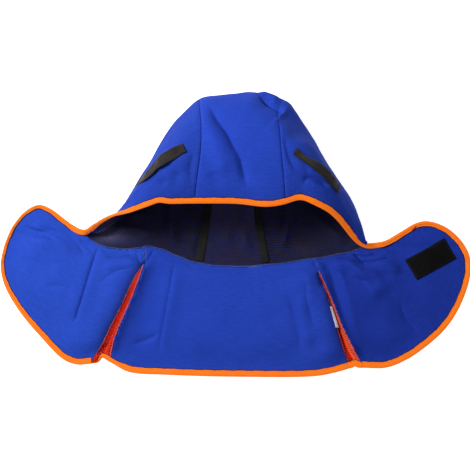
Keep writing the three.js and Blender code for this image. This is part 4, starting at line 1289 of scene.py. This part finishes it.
def makePatch(kind, face):
    patch, name, finish, slotName = patches[kind], kind + "_tape", kind + "s", kind + "_black"
    u, v = np.meshgrid(np.linspace(-0.5, 0.5, 49), np.linspace(-0.5, 0.5, 27), indexing="ij")
    x, y = patchPlan(patch, u * patch["long"], v * patch["wide"])
    rim = np.minimum((0.5 - np.abs(u)) * patch["long"], (0.5 - np.abs(v)) * patch["wide"])
    top = cape["thick"] / 2 + 0.2 + patch["thick"]
    near = top + 0.05 - 0.5 * np.exp(-((rim - patchSeam["inset"]) / 0.7) ** 2)
    grid = np.stack([x, y, capeLift(x, y) + face * near], -1)
    gridPiece(name, grid, finish, slotName, [kind + "_patch"], patch["thick"], -1, face < 0)
    ends = [np.arange(-patch[key] / 2 + patch["border"], patch[key] / 2 - patch["border"], patch["pitch"])
            for key in ("long", "wide")]
    along, aside = (values.ravel() for values in np.meshgrid(*ends, indexing="ij"))
    along, aside = along + 0.35 * np.sin(aside * 3.1), aside + 0.3 * np.sin(along * 2.3)
    bend = np.linspace(0, 1, 6)
    reach = patch["reach"] * np.sin(bend * math.pi * 0.75)
    tall = patch["tall"] * np.sin(bend * math.pi * patch["curl"])
    order = np.arange(len(along))
    lean = np.where(order % 2 == 0, 1.0, -1.0) if kind == "hook" else np.cos(order * 2.4)
    x, y = patchPlan(patch, along[:, None] + lean[:, None] * reach, aside[:, None] + 0 * reach)
    foot = capeLift(*patchPlan(patch, along, aside)) + face * top
    centre = np.stack([x, y, foot[:, None] + face * tall], -1)
    turn = np.arange(4) * math.pi / 2 + 0.4
    wheel = np.stack([np.cos(turn), np.sin(turn), np.zeros(4)], -1) * 0.16
    newPiece(name + "_pile", *tubeFaces(centre[:, :, None] + wheel), finish, slotName)
    halfLong, halfWide = patch["long"] / 2 - patchSeam["inset"], patch["wide"] / 2 - patchSeam["inset"]
    ring = [(a * halfLong, b * halfWide) for a, b in ((-1, -1), (1, -1), (1, 1), (-1, 1), (-1, -1))]
    ring = polyline(ring)(np.linspace(0, 1, 240))
    x, y = patchPlan(patch, ring[:, 0], ring[:, 1])
    line = np.stack([x, y, capeLift(x, y) + face * (top - 0.25)], -1)
    up = np.repeat(np.array([[0, 0, float(face)]]), len(line), 0)
    newPiece(name + "_stitches", *stitchRow(line, up, *patchSeam["thread"]), "blackThread", slotName)


makePatch("hook", 1)
makePatch("loop", -1)  # on the outer face, underneath
print("closure patches made")


# Blank label caught in the right gusset's seam

label = {
    "from": -89, "to": -115, "thick": 0.35, "columns": 16, "rows": 30, "lap": 0.7, "lowest": 1.4,
    "at": [0, 0.35, 0.6, 1], "high": [1.2, 1.8, 1.5, -4.5],  # over the seam and down into the gusset
}


def seamX(side, foot, y):
    line = np.array(gussetLine(side, foot))
    return np.interp(-y, -line[:, 1], line[:, 0])


def makeLabel():
    u, v = shareGrid(label["columns"], label["rows"])
    y = label["from"] + (label["to"] - label["from"]) * v
    back, wing = seamX("right", "back", y), seamX("right", "wing", y)
    x = back - label["lap"] + (wing - back + label["lap"]) * 0.5 * ease(0, 0.75, u)
    z = capeLift(back - 0.6, y) + np.interp(u, label["at"], label["high"]) + 0.25 * np.sin(v * 9)
    grid = np.stack([x, y, np.maximum(z, label["lowest"])], -1)
    gridPiece("blank_label", grid, "label", "label_white", ["care_label"], label["thick"], 1, True)


makeLabel()


# Pale overlock threads along the gussets' seams and the neck seam

overlock = {
    "pitch": 2.3, "wide": 1.28, "radius": 0.14, "neckPitch": 2.4, "neckWide": 1.6,
    "neckFrom": -172, "neckTo": 152, "neckHigh": 3.0, "loose": 0.2, "looseHigh": 1.3,
}


def overlockRow(centre, aside, up, pitch, wide):
    read, total = lineReader(centre, np.column_stack([centre, aside, up]))
    at = np.arange(0.5, total - 0.5, pitch / 4)
    centre, aside, up = np.split(read(at), 3, axis=1)
    phase = np.arange(len(at)) * math.pi / 2
    swing = np.sin(phase)[:, None] * wide / 2
    lift = 0.35 + 0.3 * np.cos(phase * 2)[:, None]
    zigzag = centre + aside * swing + up * lift
    edgeLine = centre + aside * wide * 0.5 + up * 0.2
    return [threadAlong(zigzag, overlock["radius"]), threadAlong(edgeLine, overlock["radius"] * 0.9)]


def gussetOverlock(side):
    batches = []
    v = np.linspace(0.03, 0.95, 120)
    for a, step in ((0.02, 1), (0.98, -1)):
        centre = gussetPoint(side, np.full(len(v), a), v)
        inner = gussetPoint(side, np.full(len(v), a + step * 0.06), v)
        aside = unit(inner - centre) * step
        run = unit(np.gradient(centre, axis=0))
        up = unit(np.cross(aside, run))
        up = np.where(up[:, 2:] < 0, -up, up)
        batches += overlockRow(centre + up * 0.4, aside, up, overlock["pitch"], overlock["wide"])
    return batches


roseThreads = joined(gussetOverlock("left") + gussetOverlock("right"))
newPiece("gusset_overlock", *roseThreads, "roseThread", "label_white")


def neckOverlock():
    x = np.linspace(overlock["neckFrom"], overlock["neckTo"], 400)
    centre = np.stack([x, neckAt(x) + 0.2, np.full(len(x), overlock["neckHigh"])], -1)
    centre[:, 2] += 0.5 * np.sin(x * 0.21)
    run = unit(np.gradient(centre, axis=0))
    up = np.repeat(np.array([[0, 0.0, 1.0]]), len(x), 0)
    return overlockRow(centre, unit(np.cross(up, run)), up, overlock["neckPitch"], overlock["neckWide"])


looseEnds = [
    [(-109, -19), (-111, -24), (-109.5, -29), (-111.5, -33), (-110.5, -38)],
    [(-108, -20), (-108.6, -26), (-111, -30), (-110, -35)],
    [(-106, -17), (-109, -22), (-108, -27), (-109.5, -31)],
    [(97, -32), (98.6, -37), (97.6, -42), (99, -47), (101.5, -53)],
]


def looseThreads():
    batches = []
    for row in looseEnds:
        plan = edgeCurve(row)(np.linspace(0, 1, 30))
        lifted = capeLift(plan[:, 0], plan[:, 1]) + overlock["looseHigh"] + 0.5 * np.sin(np.linspace(0, 7, 30))
        batches.append(threadAlong(np.column_stack([plan, lifted]), overlock["loose"]))
    return batches


newPiece("neck_overlock", *joined(neckOverlock() + looseThreads()), "paleThread", "label_white")
print("label and overlock made")
